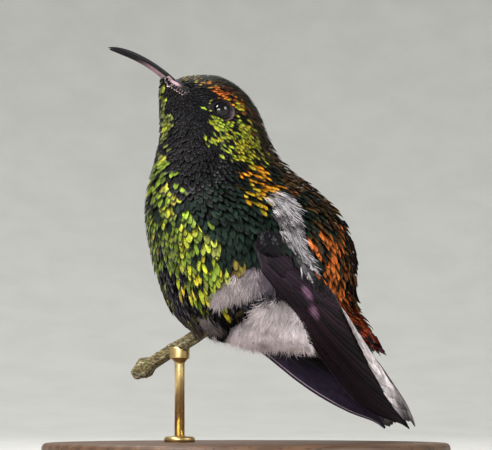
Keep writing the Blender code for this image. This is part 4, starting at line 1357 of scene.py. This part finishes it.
class Quills:
    """Long feathers gathered into one piece."""

    def __init__(self):
        """Starts with no blades."""
        self.parts, self.local, self.tints, self.rims = [], [], [], []

    def add(self, ring, local, tint, rim):
        """Adds a blade of rings; tint is one colour, or a colour for every ring or point."""
        tint = np.asarray(tint, dtype=float)
        if tint.ndim == 2:
            tint = tint[:, None]
        flat = with_ends(np.broadcast_to(tint, (*ring.shape[:2], 3)).reshape(-1, 3))
        self.parts.append(closed_tube(ring))
        ends = [local[0].mean(0)[None], local[-1].mean(0)[None]]
        self.local.append(np.concatenate([local.reshape(-1, 2), *ends]))
        self.tints.append(flat)
        self.rims.append(np.tile(np.array(rim), (len(flat), 1)))

    def piece(self, name, material, slot):
        """The gathered feathers as one piece."""
        colours = {**tinted(np.concatenate(self.tints)), "rim": np.concatenate(self.rims)}
        return add_piece(name, *joined(self.parts), material, slot,
                         maps={"vane": np.concatenate(self.local)}, colours=colours)


def wing_place(side):
    """Places flat measures of the wing, (along, above its line) and a lift outwards."""
    def place(flat, lift):
        """The point over the wing's sheet, lifted outwards off it."""
        x = wing_sheet(flat[..., 0], flat[..., 1])[0]
        plane = WING_LINE[0] + flat[..., :1] * WING_AHEAD + flat[..., 1:] * WING_HIGH
        return np.concatenate([(side * (x + lift))[..., None], plane], axis=-1)
    return place


def wing_edges(along, side):
    """How far below and above its line the wing reaches, with its leading edge's bow."""
    _, down, up, _ = wing_sheet(along, np.zeros_like(along))
    return down + np.interp(along / WING_LENGTH, BOW_SHARES, WING_BOW[side]), up


def from_wrist(along, offset):
    """Gathers the feathers' roots at the bend of the wing, from where they fan out."""
    return 0.6 + (offset - 0.6) * (0.62 + 0.38 * ease(along, 0.0, 2.6))


def wing_tint(shade, flat):
    """A feather's own dark shade, with painted lilac sheen on the inner feathers' middles.

    Each painted sheen spot is a bell in the flat measures of the wing, along it and above its line.
    """
    bright = sum(np.exp(-(((flat[..., 0] - a) / c) ** 2 + ((flat[..., 1] - b) / d) ** 2) ** 2)
                 for a, b, c, d in LILAC_SHEEN_SPOTS)
    shade = shade * (1 - 0.6 * ease(flat[..., 0], 15.0, 26.0))[..., None]
    # Painted sheen: the lilac spots laid into the feather's colour.
    return shade + (WING_LILAC - shade) * np.clip(bright, 0, 1)[..., None] * 0.6


def flight_feather(n, tip, side, place):
    """One primary or secondary, counted from the leading edge, with its colours.

    Its shaft starts side by side with the leading edge and swings to its own tip on the
    other edge; inner feathers lie over outer ones.
    """
    v = np.linspace(0, 1, QUILL_ROWS)
    start = 0.06 + 0.004 * n
    along = (start + (tip - start) * v) * WING_LENGTH
    down, up = wing_edges(along, side)
    swing = v ** (2.4 if n else 6.0)
    far = up - (0.35 if n else 0.25)
    near = np.minimum(-down + 0.38 + 0.24 * n, far)
    path = np.stack([along, from_wrist(along, near + (far - near) * swing)], axis=1)
    primary = n < len(PRIMARY_TIPS)
    left = quill_width(v, 0.36 if primary else 0.5, 0.55)
    right = quill_width(v, 2.1 if primary else 1.8, 0.55)
    right = np.minimum(right, np.maximum(up - path[:, 1], 0.03) * (1 + 0.35 * (v > 0.8)))
    room = LAYER_FLOOR * (WING_THICK[0] - 0.55 * np.clip(along / WING_LENGTH * 1.6, 0, 1))
    lift = -room + (0.075 - 0.030 * v) * n
    shade = between(WING_INK, WING_VIOLET, 0.35 + 0.4 * math.sin(n * 1.7))
    # The far wing's two leading primaries: painted sheen of the underside, lightened further as painted
    # light.
    if side < 0 and n < 2:
        shade = WING_BLUE * 1.25
    ring, local, flat = quill(path, left, right, lift, 0.09, place)
    tint = wing_tint(shade, flat)
    if side < 0 and n == 0:
        shaft = QUILL_COLUMNS.tolist().index(0.0)
        tint[:, (shaft, -1 - shaft)] = WING_SHAFT
    return ring, local, tint, WING_RIM


def covert_feathers(row, side, place):
    """One row of wing coverts, spread evenly from the leading edge to the other."""
    v = np.linspace(0, 1, QUILL_ROWS)
    count, first, last, top, width = row
    for n in range(count):
        share = (n + 0.5) / count
        end = last - 0.035 * (1 - share) + rng.normal(0, 0.004)
        along = (first + (end - first) * v) * WING_LENGTH
        down, up = wing_edges(np.maximum(along, 0), side)
        level = -down * 0.93 + (down + up) * 0.93 * (0.10 + 0.88 * share) - 0.5 * (1 - v)
        path = np.stack([along, from_wrist(along, level)], axis=1)
        half = quill_width(v, width / 2 * 1.25, 0.6)
        lift = np.full(QUILL_ROWS, -LAYER_FLOOR * WING_THICK[0]) + top - 0.10 * v + 0.03 * (n % 2)
        shade = WING_INK * rng.uniform(0.7, 1.6) + np.array([0.012, 0.006, 0.012]) * rng.uniform(0, 1)
        ring, local, flat = quill(path, half, half, lift, 0.08, place)
        yield ring, local, wing_tint(shade, flat), (*MAUVE, 0.2)


def add_wings(materials):
    """Both folded wings: ten primaries, six secondaries, four rows of coverts, bend and stripe."""
    tips = PRIMARY_TIPS + SECONDARY_TIPS
    for label, side in SIDES:
        place = wing_place(side)
        primaries, secondaries, coverts = Quills(), Quills(), Quills()
        for n, tip in enumerate(tips):
            group = primaries if n < len(PRIMARY_TIPS) else secondaries
            group.add(*flight_feather(n, tip, side, place))
        for row in COVERT_ROWS:
            for feather in covert_feathers(row, side, place):
                coverts.add(*feather)
        for group, name, node in ((primaries, "primaries", "wing_primaries"),
                                  (secondaries, "secondaries", "wing_secondaries"),
                                  (coverts, "wing_coverts", "wing_coverts")):
            made = group.piece(f"{name}_feathers_{label}", materials["flight"], "flight_feathers")
            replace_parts(made, f"{node}_{label}")
        add_wrist(label, side, materials)
        add_stripe(label, side, materials)


def add_stripe(label, side, materials):
    """A stripe of narrow white feathers that shows along the folded wing's upper edge.

    Each lies over the wing's sheet, follows its upper edge, and starts a little further
    along than the one before; they grow wider and duskier at the tip towards the tail.
    """
    v = np.linspace(0, 1, STRIPE_ROWS)
    place = wing_place(side)
    stripe = Quills()
    for n in range(STRIPE_COUNT):
        share = n / (STRIPE_COUNT - 1)
        along = 17.4 + 17.4 * share + (4.2 + 2.4 * share) * v
        _, up = wing_edges(along, side)
        level = up + 0.02 + (n % 4) * (0.05 + 0.38 * share) + rng.normal(0, 0.05)
        half = quill_width(v, 0.14 + 0.46 * share, 0.4)
        lift = np.full(STRIPE_ROWS, 0.22 - 0.72 * share) + 0.12 * v - 0.05 * (n % 4)
        ring, local, _ = quill(np.stack([along, level], axis=1), half, half, lift, 0.06, place)
        shade = np.array(DOWN) * rng.uniform(0.45, 1.05)
        tip = 0.95 * ease(v, 0.55, 0.95) * ease(share, 0.70, 0.95)
        stripe.add(ring, local, between(shade, np.array(SMOKE) * 0.4, tip[:, None]), (*SMOKE, 0.5))
    stripe.piece(f"flank_stripe_feathers_{label}", materials["pale_tail"], "downy_plumage")


def add_wrist(label, side, materials):
    """The rounded bend of the wing, a closed knob that small black coverts wrap.

    An egg whose surface is stepped by rows of scale-shaped feathers: its radius is larger
    towards each scale's lower rim.
    """
    theta = np.linspace(0.02, math.pi - 0.02, 60)[:, None]
    phi = turns_round(72)[None, :]
    band = theta * 3.2
    scale = (phi * WRIST_SCALES / FULL_TURN + 0.5 * (np.floor(band) % 2)) % 1.0
    size = 1 + 0.07 * (band % 1.0) * np.cos((scale - 0.5) * math.pi) ** 0.5
    egg = np.stack([np.sin(theta) * np.cos(phi) * size, -np.cos(theta) * np.ones_like(phi) * size,
                    np.sin(theta) * np.sin(phi) * size], axis=-1) * WRIST_RADII
    tilt = math.radians(WRIST_TILT)
    turned = egg.copy()
    turned[..., 1] = egg[..., 1] * math.cos(tilt) - egg[..., 2] * math.sin(tilt)
    turned[..., 2] = egg[..., 1] * math.sin(tilt) + egg[..., 2] * math.cos(tilt)
    points, faces = closed_tube((turned + WRIST_CENTRE) * (side, 1, 1))
    local = np.stack(np.broadcast_arrays(scale, band % 1.0), axis=-1).reshape(-1, 2)
    tint = np.tile(np.array([0.004, 0.0035, 0.005]), (len(points), 1))
    rim = np.tile(np.array([0.03, 0.027, 0.032, 0.5]), (len(points), 1))
    add_piece(f"wrist_feathers_{label}", points, faces, materials["wrist"], "flight_feathers",
              maps={"vane": with_ends(local)}, colours={**tinted(tint), "rim": rim})


def tail_place(flat, lift):
    """Places flat measures of the tail, (along it, to its left) and a lift to its upper side."""
    root = np.array([0.0, *TAIL_ROOT])
    line = np.array([0.0, *TAIL_TIP]) - root
    ahead = unit(line)
    raised = unit(np.array([0.0, -line[2], line[1]]))
    share = np.clip(flat[..., 0] / np.linalg.norm(line), 0, 1)
    half = np.interp(share, TAIL_STATIONS[:, 0], TAIL_STATIONS[:, 1])
    drop = TAIL_ARCH * (flat[..., 1] / half) ** 2
    point = root + ahead * flat[..., :1] + raised * (lift - drop)[..., None]
    point[..., 0] = flat[..., 1]
    return point


def tail_feather(n, side):
    """One tail feather, counted from the middle pair outwards, with its colours.

    Its shaft runs from the root to its own place across the tip; the middle ones lie on top
    and a little short of the outer ones.
    """
    v = np.linspace(0, 1, QUILL_ROWS)
    full = math.hypot(TAIL_TIP[0] - TAIL_ROOT[0], TAIL_TIP[1] - TAIL_ROOT[1])
    reach = full * (0.955 + 0.011 * n)
    along = -TAIL_SUNK + (reach + TAIL_SUNK) * v
    half = np.interp(along / full, TAIL_STATIONS[:, 0], TAIL_STATIONS[:, 1])
    path = np.stack([along, side * half * TAIL_SHAFTS[n] * (0.45 + 0.55 * ease(v, 0.0, 0.8))], axis=1)
    inward = quill_width(v, 1.55, 0.72)
    room = np.maximum(half - np.abs(path[:, 1]), 0.05)
    outward = np.minimum(quill_width(v, 0.95 if n else 1.25, 0.72), room)
    left, right = (inward, outward) if side > 0 else (outward, inward)
    lift = 0.26 - 0.115 * n - 1.5 * (1 - ease(v, 0.0, 0.32))
    ring, local, _ = quill(path, left, right, lift, 0.09, tail_place)
    if n == 0:
        tint = between(np.array(COPPER) * 0.35, [0.02, 0.012, 0.010], ease(v, 0.75, 1.0)[:, None])
        return ring, local, tint, (*INK, 0.5)
    pale = np.array([0.86, 0.81, 0.81]) * (1 - 0.10 * n)
    tint = between(pale, [0.035, 0.03, 0.032], (0.9 * ease(v, 0.87, 0.97))[:, None])[:, None]
    if n == len(TAIL_SHAFTS) - 1:
        edge = (np.abs(local[..., 0] * 2 - 1) > 0.95) & (local[..., 1] < 0.8)
        tint = np.where(edge[..., None], np.array(EMBER) * 0.12, tint)
    return ring, local, tint, (*SMOKE, 0.30)


def add_tail(materials):
    """Ten tail feathers: a coppery middle pair over four pale pairs with dusky tips."""
    middle, outer = Quills(), {1: Quills(), -1: Quills()}
    for n in range(len(TAIL_SHAFTS)):
        for _, side in SIDES:
            (outer[side] if n else middle).add(*tail_feather(n, side))
    made = middle.piece("middle_tail_feathers", materials["copper_tail"], "tail_feathers")
    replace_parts(made, "tail_central")
    for label, side in SIDES:
        made = outer[side].piece(f"outer_tail_feathers_{label}", materials["pale_tail"], "tail_feathers")
        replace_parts(made, f"tail_outer_{label}")


# ---------------------------------------------------------------- bill and eyes
def bill_line(share):
    """Middle line, slope, depth and width of the bill at shares of its length."""
    steps = 200
    fine = np.linspace(0, 1, steps + 1)
    slope = np.radians(between(*BILL_PITCH, fine))
    step = BILL_LENGTH / steps
    y = BILL_ROOT[0] - np.concatenate([[0], np.cumsum(np.cos(slope[1:]))]) * step
    z = BILL_ROOT[1] + np.concatenate([[0], np.cumsum(np.sin(slope[1:]))]) * step
    draw = np.sqrt(np.clip(1 - (np.clip(share - BILL_TIP, 0, 1) / (1 - BILL_TIP)) ** 2, 0.03, 1))
    middle = np.stack([np.zeros_like(share), np.interp(share, fine, y), np.interp(share, fine, z)], axis=1)
    depth = between(*BILL_DEPTH, share) * draw
    return middle, np.interp(share, fine, slope), depth, between(*BILL_WIDTH, share) * draw


def add_bill(materials):
    """Upper and lower halves of the bill.

    Each half is a rounded arch over a flat biting edge.  The upper one has a ridge along its
    top and a long nostril groove on either side of its root.
    """
    arc = np.linspace(0, math.pi, 25)
    for name, sign, part, reach in (("upper", 1, BILL_SPLIT, 1.0), ("lower", -1, 1 - BILL_SPLIT, 0.975)):
        share = np.linspace(0, reach, 90)
        middle, slope, depth, width = bill_line(share)
        high = np.stack([np.zeros_like(slope), np.sin(slope), np.cos(slope)], axis=1)
        tall = np.maximum(depth * part, BILL_SEAM / 2 + 0.06)
        rise = BILL_SEAM / 2 + (tall[:, None] - BILL_SEAM / 2) * np.sin(arc)[None, :] ** 0.9
        half = width[:, None] / 2 * np.cos(arc)[None, :]
        if sign > 0:
            groove = bell(arc, 0.75, 0.16) + bell(math.pi - arc, 0.75, 0.16)
            half = half * (1 - 0.16 * groove[None, :] * (1 - ease(share, 0.30, 0.45))[:, None])
            rise = rise + 0.035 * bell(arc, math.pi / 2, 0.22)[None, :] * (1 - share)[:, None]
        rings = middle[:, None, :] + high[:, None, :] * (sign * rise)[:, :, None]
        rings[:, :, 0] += half
        points, faces = closed_tube(rings)
        black = np.array([0.007, 0.006, 0.007])
        pink = np.array([0.27, 0.17, 0.19])
        pale = (1 - ease(share, 0.36, 0.68))[:, None] * ease(np.sin(arc), 0.25, 0.5)[None, :]
        tint = black + (pink - black) * pale[..., None] * (sign < 0)
        made = add_piece(f"bill_{name}_horn", points, faces, materials["bill"], "bill_horn",
                         colours=tinted(with_ends(tint.reshape(-1, 3))))
        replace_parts(made, f"bill_{name}")


def add_gape(materials):
    """The bare horn wedge that carries each side of the bill's mouth line back into the face.

    It lies on the outline between the gape angle less and plus the wedge's reach, bowed out
    across, with its underside sunk in the face.
    """
    t = np.linspace(-0.5, GAPE_LENGTH - 0.02, 40)[:, None]
    across = np.linspace(-1, 1, 13)[None, :]
    angle = np.radians(gape_angle(t) + gape_reach(t) * across * 1.05)
    bow = -0.16 + 0.14 * (1 - across ** 2) * (1 - t / GAPE_LENGTH)
    line = -0.12 * bell(across, 0, 0.12) * (1 - t / GAPE_LENGTH)
    low = ease(across, 0.05, 0.22) * (1 - ease(t, 0.75, 1.35))
    tint = np.array([0.006, 0.005, 0.006]) + np.array([0.26, 0.17, 0.185]) * low[..., None]
    tint = np.concatenate([tint, tint[:, ::-1]], axis=1).reshape(-1, 3)
    for label, side in SIDES:
        point, normal, _, _ = outline_frame(np.broadcast_to(t, angle.shape), both_sides(angle, side))
        top = point + normal * (bow + line)[..., None]
        under = point - normal * 0.55
        points, faces = closed_tube(np.concatenate([top, under[:, ::-1]], axis=1))
        add_piece(f"gape_{label}", points, faces, materials["bill"], "bill_horn",
                  colours=tinted(with_ends(tint)))


def eye_axes(side):
    """The way an eye looks, the way to the bill from it, and up."""
    out = unit(EYE_WAY * (side, 1, 1))
    front = unit(EYE_FRONT - out * EYE_FRONT.dot(out))
    return out, front, np.cross(out, front) * side


def add_eyeball(label, side, materials):
    """An eye's smooth ball: its radius times the turn from the way that it looks."""
    out, front, up = eye_axes(side)
    theta = np.linspace(0.02, math.pi - 0.02, 48)[:, None, None]
    phi = turns_round(64)[None, :, None]
    way = out * np.cos(theta) + np.sin(theta) * (front * np.cos(phi) + up * np.sin(phi))
    points, faces = closed_tube(EYE_CENTRE * (side, 1, 1) + EYE_RADIUS * way)
    shares = np.broadcast_arrays(phi[..., 0] / FULL_TURN, theta[..., 0] / math.pi)
    local = np.concatenate([np.stack(shares, axis=-1).reshape(-1, 2), [(0, 0), (0, 1)]])
    eye = add_piece(f"eyeball_{label}", points, faces, materials["eye"], "eye", maps={"vane": local})
    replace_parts(eye, f"eye_{label}")


def add_lids(label, side, materials):
    """The bare ring of lids round an eye.

    It starts at an oval opening on the ball, rolls out over a rounded rim and slopes down to
    an oval edge under the face's feathers, with small grains and pale beads round the ring.
    """
    centre = EYE_CENTRE * (side, 1, 1)
    out, front, up = eye_axes(side)
    columns, rows = 96, 22
    turn = turns_round(columns)[None, :]
    v = np.linspace(0, 1, rows)[:, None]
    open_angle = np.radians(np.hypot(LID_OPEN[0] * np.cos(turn), LID_OPEN[1] * np.sin(turn)))
    inner = EYE_RADIUS * np.sin(open_angle)
    outer = 1 / np.hypot(np.cos(turn) / LID_REACH[0], np.sin(turn) / LID_REACH[1])
    start = EYE_RADIUS * np.cos(open_angle) - 0.05
    away = inner - 0.03 + (outer + 0.25 - inner) * ease(v, 0.0, 1.0) ** 0.9
    level = start + 0.20 * ease(v, 0.0, 0.16) - (start - 0.10) * ease(v, 0.12, 1.0)
    grains = 0.045 * np.abs(np.sin(turn * 14 + 2.5 * np.floor(v * 4))) * np.abs(np.sin(v * 4 * math.pi))
    level = level + grains * ease(v, 0.1, 0.2) * (1 - ease(v, 0.75, 1.0))
    ring = (centre + out * level[..., None] + front * (away * np.cos(turn))[..., None]
            + up * (away * np.sin(turn))[..., None])
    sunk = centre - out * LID_ROOT + (ring[-1:] - centre - out * level[-1:, :, None])
    points = np.concatenate([ring, sunk]).reshape(-1, 3)
    faces = grid_faces(rows + 1, columns, True)
    normals = np.cross(points[faces[:, 1]] - points[faces[:, 0]], points[faces[:, 3]] - points[faces[:, 0]])
    if (normals[:columns * (rows - 2)] @ out).sum() < 0:
        faces = faces[:, ::-1]
    grey = np.array([0.008, 0.006, 0.007])
    beads = bell(v, 0.60, 0.07) * np.abs(np.sin(turn * 15)) ** 0.6
    corner = bell(np.abs(np.cos(turn)), 1, 0.04) * bell(v, 0.50, 0.15)
    dark = bell(v, 0.05, 0.08) + 0 * turn
    tint = between(grey, [0.17, 0.125, 0.135], np.clip(0.8 * beads + 0.35 * corner, 0, 1)[..., None])
    tint = between(tint, (0.012, 0.010, 0.012), (0.8 * dark)[..., None])
    tint = np.concatenate([tint, tint[-1:]]).reshape(-1, 3)
    add_piece(f"lids_{label}", points, faces, materials["lid"], "eye", colours=tinted(tint))


def add_eyes(materials):
    """Both eyes, each a ball in its ring of lids."""
    for label, side in SIDES:
        add_eyeball(label, side, materials)
        add_lids(label, side, materials)


# ---------------------------------------------------------------- twig, feet and stand
def add_twig(materials):
    """The cut twig: a bark tube with long ridges, leaf scars and pale cut ends.

    Its radius is the twig's, times swells at the scars, times long ripples that turn slowly
    round it.
    """
    along, high, _ = twig_axes()
    rows, sides = 170, 64
    distance = np.linspace(*TWIG_SPAN, rows)
    path = TWIG_POINT + along * distance[:, None]
    path = path + high * (0.10 * np.sin(distance * 0.42))[:, None] * ease(distance, -17, -13)[:, None]
    swell = 1 + (0.50 * bell(distance, TWIG_KNOB, 1.25) + 0.14 * bell(distance, -8.2, 0.5))
    turn = turns_round(sides)[None, :]
    d = distance[:, None]
    ridges = (0.045 * np.sin(5 * turn + 0.30 * d) + 0.030 * np.sin(9 * turn - 0.55 * d + 1.0)
              + 0.02 * np.sin(14 * turn + 0.9 * d))
    scars = 0.05 * np.sin(d * 9) * bell(d, TWIG_KNOB, 1.5)
    lumps = 0.16 * bell(d, -15.0, 0.8) * np.maximum(np.cos(turn - 0.7), 0) ** 2
    rings = tube(path, TWIG_RADIUS * swell, sides, shape=1 + (ridges + scars + lumps) * 0.8)
    cut = []
    for end, outward in ((0, -1), (-1, 1)):
        middle = rings[end].mean(0)
        cut.append(middle + (rings[end] - middle) * 0.93 + along * (0.02 * outward))
    points, faces = closed_tube(np.concatenate([cut[0][None], rings, cut[1][None]]))
    # Not a groove in the shape: a narrow band darkened along the twig's underside, turning slowly along it.
    groove = bell((turn - 3.6 + 0.02 * d + math.pi) % FULL_TURN, math.pi, 0.35)
    tint = between([0.17, 0.135, 0.055], [0.36, 0.31, 0.19], ease(ridges, 0.0, 0.07)[..., None])
    tint = between(tint, (0.05, 0.035, 0.02), (0.8 * groove)[..., None])
    tint = with_ends(np.concatenate([tint[:1], tint, tint[-1:]]).reshape(-1, 3))
    bare = np.zeros(len(points))
    bare[:sides] = 1
    bare[(rows + 1) * sides:] = 1
    twig = add_piece("twig", points, faces, materials["bark"], "twig_bark", colours=tinted(tint, bare))
    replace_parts(twig, "perch")


def add_feet(materials):
    """Each foot: a short shank, three toes over the front of the twig, one behind, and claws.

    A toe runs round the twig at the ring's radius; its own radius swells at each scale and
    thins to the tip, where the claw goes on round and inwards to a point.
    """
    along, high, front = twig_axes()
    v = np.linspace(0, 1, 44)
    w = np.linspace(0, 1, 18)
    steps = np.linspace(0, 1, 20)
    scale = 1 + 0.07 * np.abs(np.sin(v * math.pi * 16)) + 0.06 * np.sin(v * math.pi * 3) ** 2
    toe_radii = TOE_RADIUS * np.interp(v, (0, 0.7, 1), (1.0, 0.92, 0.62)) * scale
    claw_ring = TOE_RING + 0.06 - 0.38 * w ** 1.3
    for label, spot in FOOT_SPOTS:
        centre = TWIG_POINT + along * spot
        crown = centre + high * TOE_RING
        shank = crown[None, :] + high * (steps * 1.6)[:, None] - front * (steps ** 2 * 0.8)[:, None]
        toes = [tube(shank, 0.34 + 0.02 * np.sin(steps * 30), 14, up=along)]
        claws = []
        for shift, way, reach in TOES:
            angle = np.radians(-14 + (reach + 14) * v)
            slide = shift * TOE_SPREAD * np.clip(v * 2.2, 0, 1)
            path = (centre + high * (TOE_RING * np.cos(angle))[:, None]
                    + front * (way * TOE_RING * np.sin(angle))[:, None] + along * slide[:, None])
            toes.append(tube(path, toe_radii, 14, up=along))
            bend = angle[-1] + math.radians(CLAW_BEND) * w
            claw = (centre + high * (claw_ring * np.cos(bend))[:, None]
                    + front * (way * claw_ring * np.sin(bend))[:, None] + along * slide[-1])
            claws.append(tube(claw, CLAW_RADIUS * (1 - 0.9 * w ** 1.2), 12, up=along))
        for group, name, material in ((toes, "toes", "foot"), (claws, "claws", "claw")):
            local = []
            for rings in group:
                u, t = np.meshgrid(np.linspace(0, 1, rings.shape[1]), np.linspace(0, 1, rings.shape[0]))
                local.append(np.concatenate([np.stack([u, t], axis=-1).reshape(-1, 2), [(0, 0), (0, 1)]]))
            made = add_piece(f"{name}_{label}", *joined([closed_tube(rings) for rings in group]),
                             materials[material], "foot_skin", maps={"vane": np.concatenate(local)})
            if name == "toes":
                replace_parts(made, f"foot_{label}")


def lathe(name, centre, profile, material, slot, node, top=None):
    """A turned solid: (radius, height) pairs carried round an upright line.

    Where a top is given, no point stands above its height there.
    """
    radius, height = np.array(profile).T
    turn = turns_round(128)[None, :]
    x = centre[0] + radius[:, None] * np.cos(turn)
    y = centre[1] + radius[:, None] * np.sin(turn)
    z = height[:, None] + 0 * turn
    if top is not None:
        z = np.minimum(z, top(x, y))
    points, faces = closed_tube(np.stack([x, y, z], axis=-1))
    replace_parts(add_piece(name, points, faces, material, slot), node)


def rounded(start, corner, end):
    """A rounded corner from one (radius, height) pair to another: a quadratic curve."""
    w = np.linspace(0, 1, 7)[:, None]
    a, b, c = (np.array(p) for p in (start, corner, end))
    return [tuple(p) for p in (1 - w) ** 2 * a + 2 * w * (1 - w) * b + w ** 2 * c]


def add_stand(materials):
    """The turned wooden base, and the brass rod with its collar and its saddle under the twig."""
    r, h = BASE_RADIUS, BASE_HEIGHT
    profile = [(0.01, 0.0), (r - 0.7, 0.0), *rounded((r - 0.5, 0.0), (r, 0.0), (r, 0.5)), (r, h - 1.0)]
    profile += rounded((r, h - 0.9), (r, h), (r - 0.9, h))
    groove = ((3.2, 0), (3.35, 0.02), (3.5, 0.16), (3.65, 0.02), (3.8, 0))
    profile += [(r - inward, h - deep) for inward, deep in groove]
    profile += [(n, h) for n in (20.0, 10.0, 0.01)]
    lathe("turned_base", (0.0, 0.0), profile, materials["wood"], "stand_wood", "stand_base")
    along, high, front = twig_axes()
    spot = TWIG_POINT + along * ROD_SPOT
    top = spot[2] - 0.2

    def under_twig(x, y):
        """Height of the twig's underside, a little clear, over a point."""
        sideways = (x - spot[0]) * front[0] + (y - spot[1]) * front[1]
        lengthways = (x - spot[0]) * along[0] + (y - spot[1]) * along[1]
        middle = spot[2] + lengthways * along[2]
        room = (TWIG_RADIUS + 0.10) ** 2 - sideways ** 2
        return np.where(room > 0, middle - np.sqrt(np.clip(room, 0, None)) / high[2], middle + 5)

    foot = h + STAND_GAP
    cup = CUP_RADIUS
    profile = [(0.01, foot), (ROD_RADIUS, foot), (ROD_RADIUS, top - 2.6)]
    profile += rounded((ROD_RADIUS, top - 2.5), (ROD_RADIUS + 0.05, top - 2.0), (cup - 0.1, top - 1.7))
    profile += rounded((cup - 0.05, top - 1.65), (cup, top - 1.6), (cup, top - 1.5))
    profile += [(cup, top - n) for n in (1.2, 0.9, 0.6, 0.3, 0.06)] + [(cup - 0.06, top)]
    profile += [(n, top) for n in (1.3, 1.15, 1.0, 0.85, 0.7, 0.55, 0.4, 0.25, 0.1, 0.01)]
    lathe("brass_rod", spot, profile, materials["brass"], "stand_metal", "stand_rod", top=under_twig)
    bore, rim = ROD_RADIUS + 0.03, COLLAR_RADIUS
    profile = [(bore, foot), (rim, foot)]
    profile += rounded((rim, foot + 0.45), (rim, foot + 0.8), (rim - 0.6, foot + 0.85))
    profile += rounded((rim - 0.9, foot + 0.85), (bore + 0.1, foot + 0.87), (bore, foot + COLLAR_HEIGHT))
    lathe("brass_collar", spot, profile, materials["brass"], "stand_metal", "stand_collar")


# ---------------------------------------------------------------- floor, lights and camera
def add_floor(materials):
    """A pale floor that curves up into a round wall."""
    w = np.linspace(0, math.pi / 2, 16)
    reach, bend, height = 420.0, 560.0, 1500.0
    radius = np.concatenate([[0.01, 100.0, 200.0, 300.0], reach + bend * np.sin(w), [reach + bend]])
    level = np.concatenate([[0.0, 0.0, 0.0, 0.0], bend * (1 - np.cos(w)), [height]])
    turn = turns_round(96)[None, :]
    points = np.stack([radius[:, None] * np.cos(turn), radius[:, None] * np.sin(turn),
                       level[:, None] + 0 * turn], axis=-1)
    faces = grid_faces(len(radius), 96, True)
    add_piece("studio_floor", points, faces, materials["floor"], "", body=None)


def put(name, data, azimuth, rise, distance):
    """Puts a lamp or camera in the scene, that far from the camera's target and facing it.

    The azimuth goes round from the front to the bird's left; its -Z is the way it looks.
    """
    a, e = math.radians(azimuth), math.radians(rise)
    back = np.array([math.sin(a) * math.cos(e), -math.cos(a) * math.cos(e), math.sin(e)])
    thing = bpy.data.objects.new(name, data)
    bpy.context.scene.collection.objects.link(thing)
    thing.location = Vector(np.array(CAMERA_TARGET) * MM + back * distance)
    thing.rotation_mode = "QUATERNION"
    thing.rotation_quaternion = Vector(-back).to_track_quat("-Z", "Y")
    return thing


def add_stage(materials):
    """The floor, a pale sky, the lights and the camera."""
    add_floor(materials)
    world = bpy.data.worlds.new("studio_air")
    world.use_nodes = True
    sky = world.node_tree.nodes["Background"]
    sky.inputs["Color"].default_value = (0.86, 0.93, 1.0, 1.0)
    sky.inputs["Strength"].default_value = 0.32
    bpy.context.scene.world = world
    for name, azimuth, rise, distance, size, power, colour in LIGHTS:
        lamp = bpy.data.lights.new(f"{name}_light", "AREA")
        lamp.size = size
        lamp.energy = power
        lamp.color = colour
        put(f"{name}_light", lamp, azimuth, rise, distance).visible_camera = False
    lens = bpy.data.cameras.new("camera")
    lens.sensor_width = 36.0
    lens.lens = lens.sensor_width * CAMERA_DISTANCE / CAMERA_SPAN
    lens.clip_start = 0.01
    bpy.context.scene.camera = put("camera", lens, CAMERA_SIDE, CAMERA_RISE, CAMERA_DISTANCE * MM)
    bpy.context.scene.view_settings.view_transform = "Standard"


def main():
    """Builds every piece of the model, then the studio round it."""
    board = ((0.46, 0.46, 0.44), (0.49, 0.49, 0.47))
    claw = ((0.010, 0.008, 0.007), (0.045, 0.035, 0.030))
    materials = {
        "plumage": plumage_finish("shingled_feathers", 0.5),
        "down": down_finish(),
        "flight": quill_finish("flight_feather_vanes", 0.42, 0.0, 2.4),
        "wrist": quill_finish("glossy_wrist_feathers", 0.26, 0.0, 1.2, 0.1, 0.0),
        "copper_tail": quill_finish("copper_tail_vanes", 0.38, 0.3, 0.5),
        "pale_tail": quill_finish("pale_tail_vanes", 0.55, 0.0, 0.45, 0.10),
        "skin": skin_finish(),
        "eye": eye_finish(),
        "lid": lid_finish(),
        "bill": bill_finish(),
        "foot": foot_finish(),
        "claw": grained_finish("claw_horn", 0.3, (1.0, 1.0, 3.0), 3800.0, claw, (0.24, 0.42),
                               Coat_Weight=0.3, Coat_Roughness=0.2),
        "bark": bark_finish(),
        "wood": wood_finish(),
        "brass": brass_finish(),
        "floor": grained_finish("studio_board", 0.9, (1.0, 1.0, 1.0), 60.0, board, (0.85, 0.95)),
    }
    for add in (add_skin, add_coat, add_puffs, add_wings, add_tail, add_bill, add_gape, add_eyes, add_twig,
                add_feet, add_stand, add_stage):
        add(materials)


main()
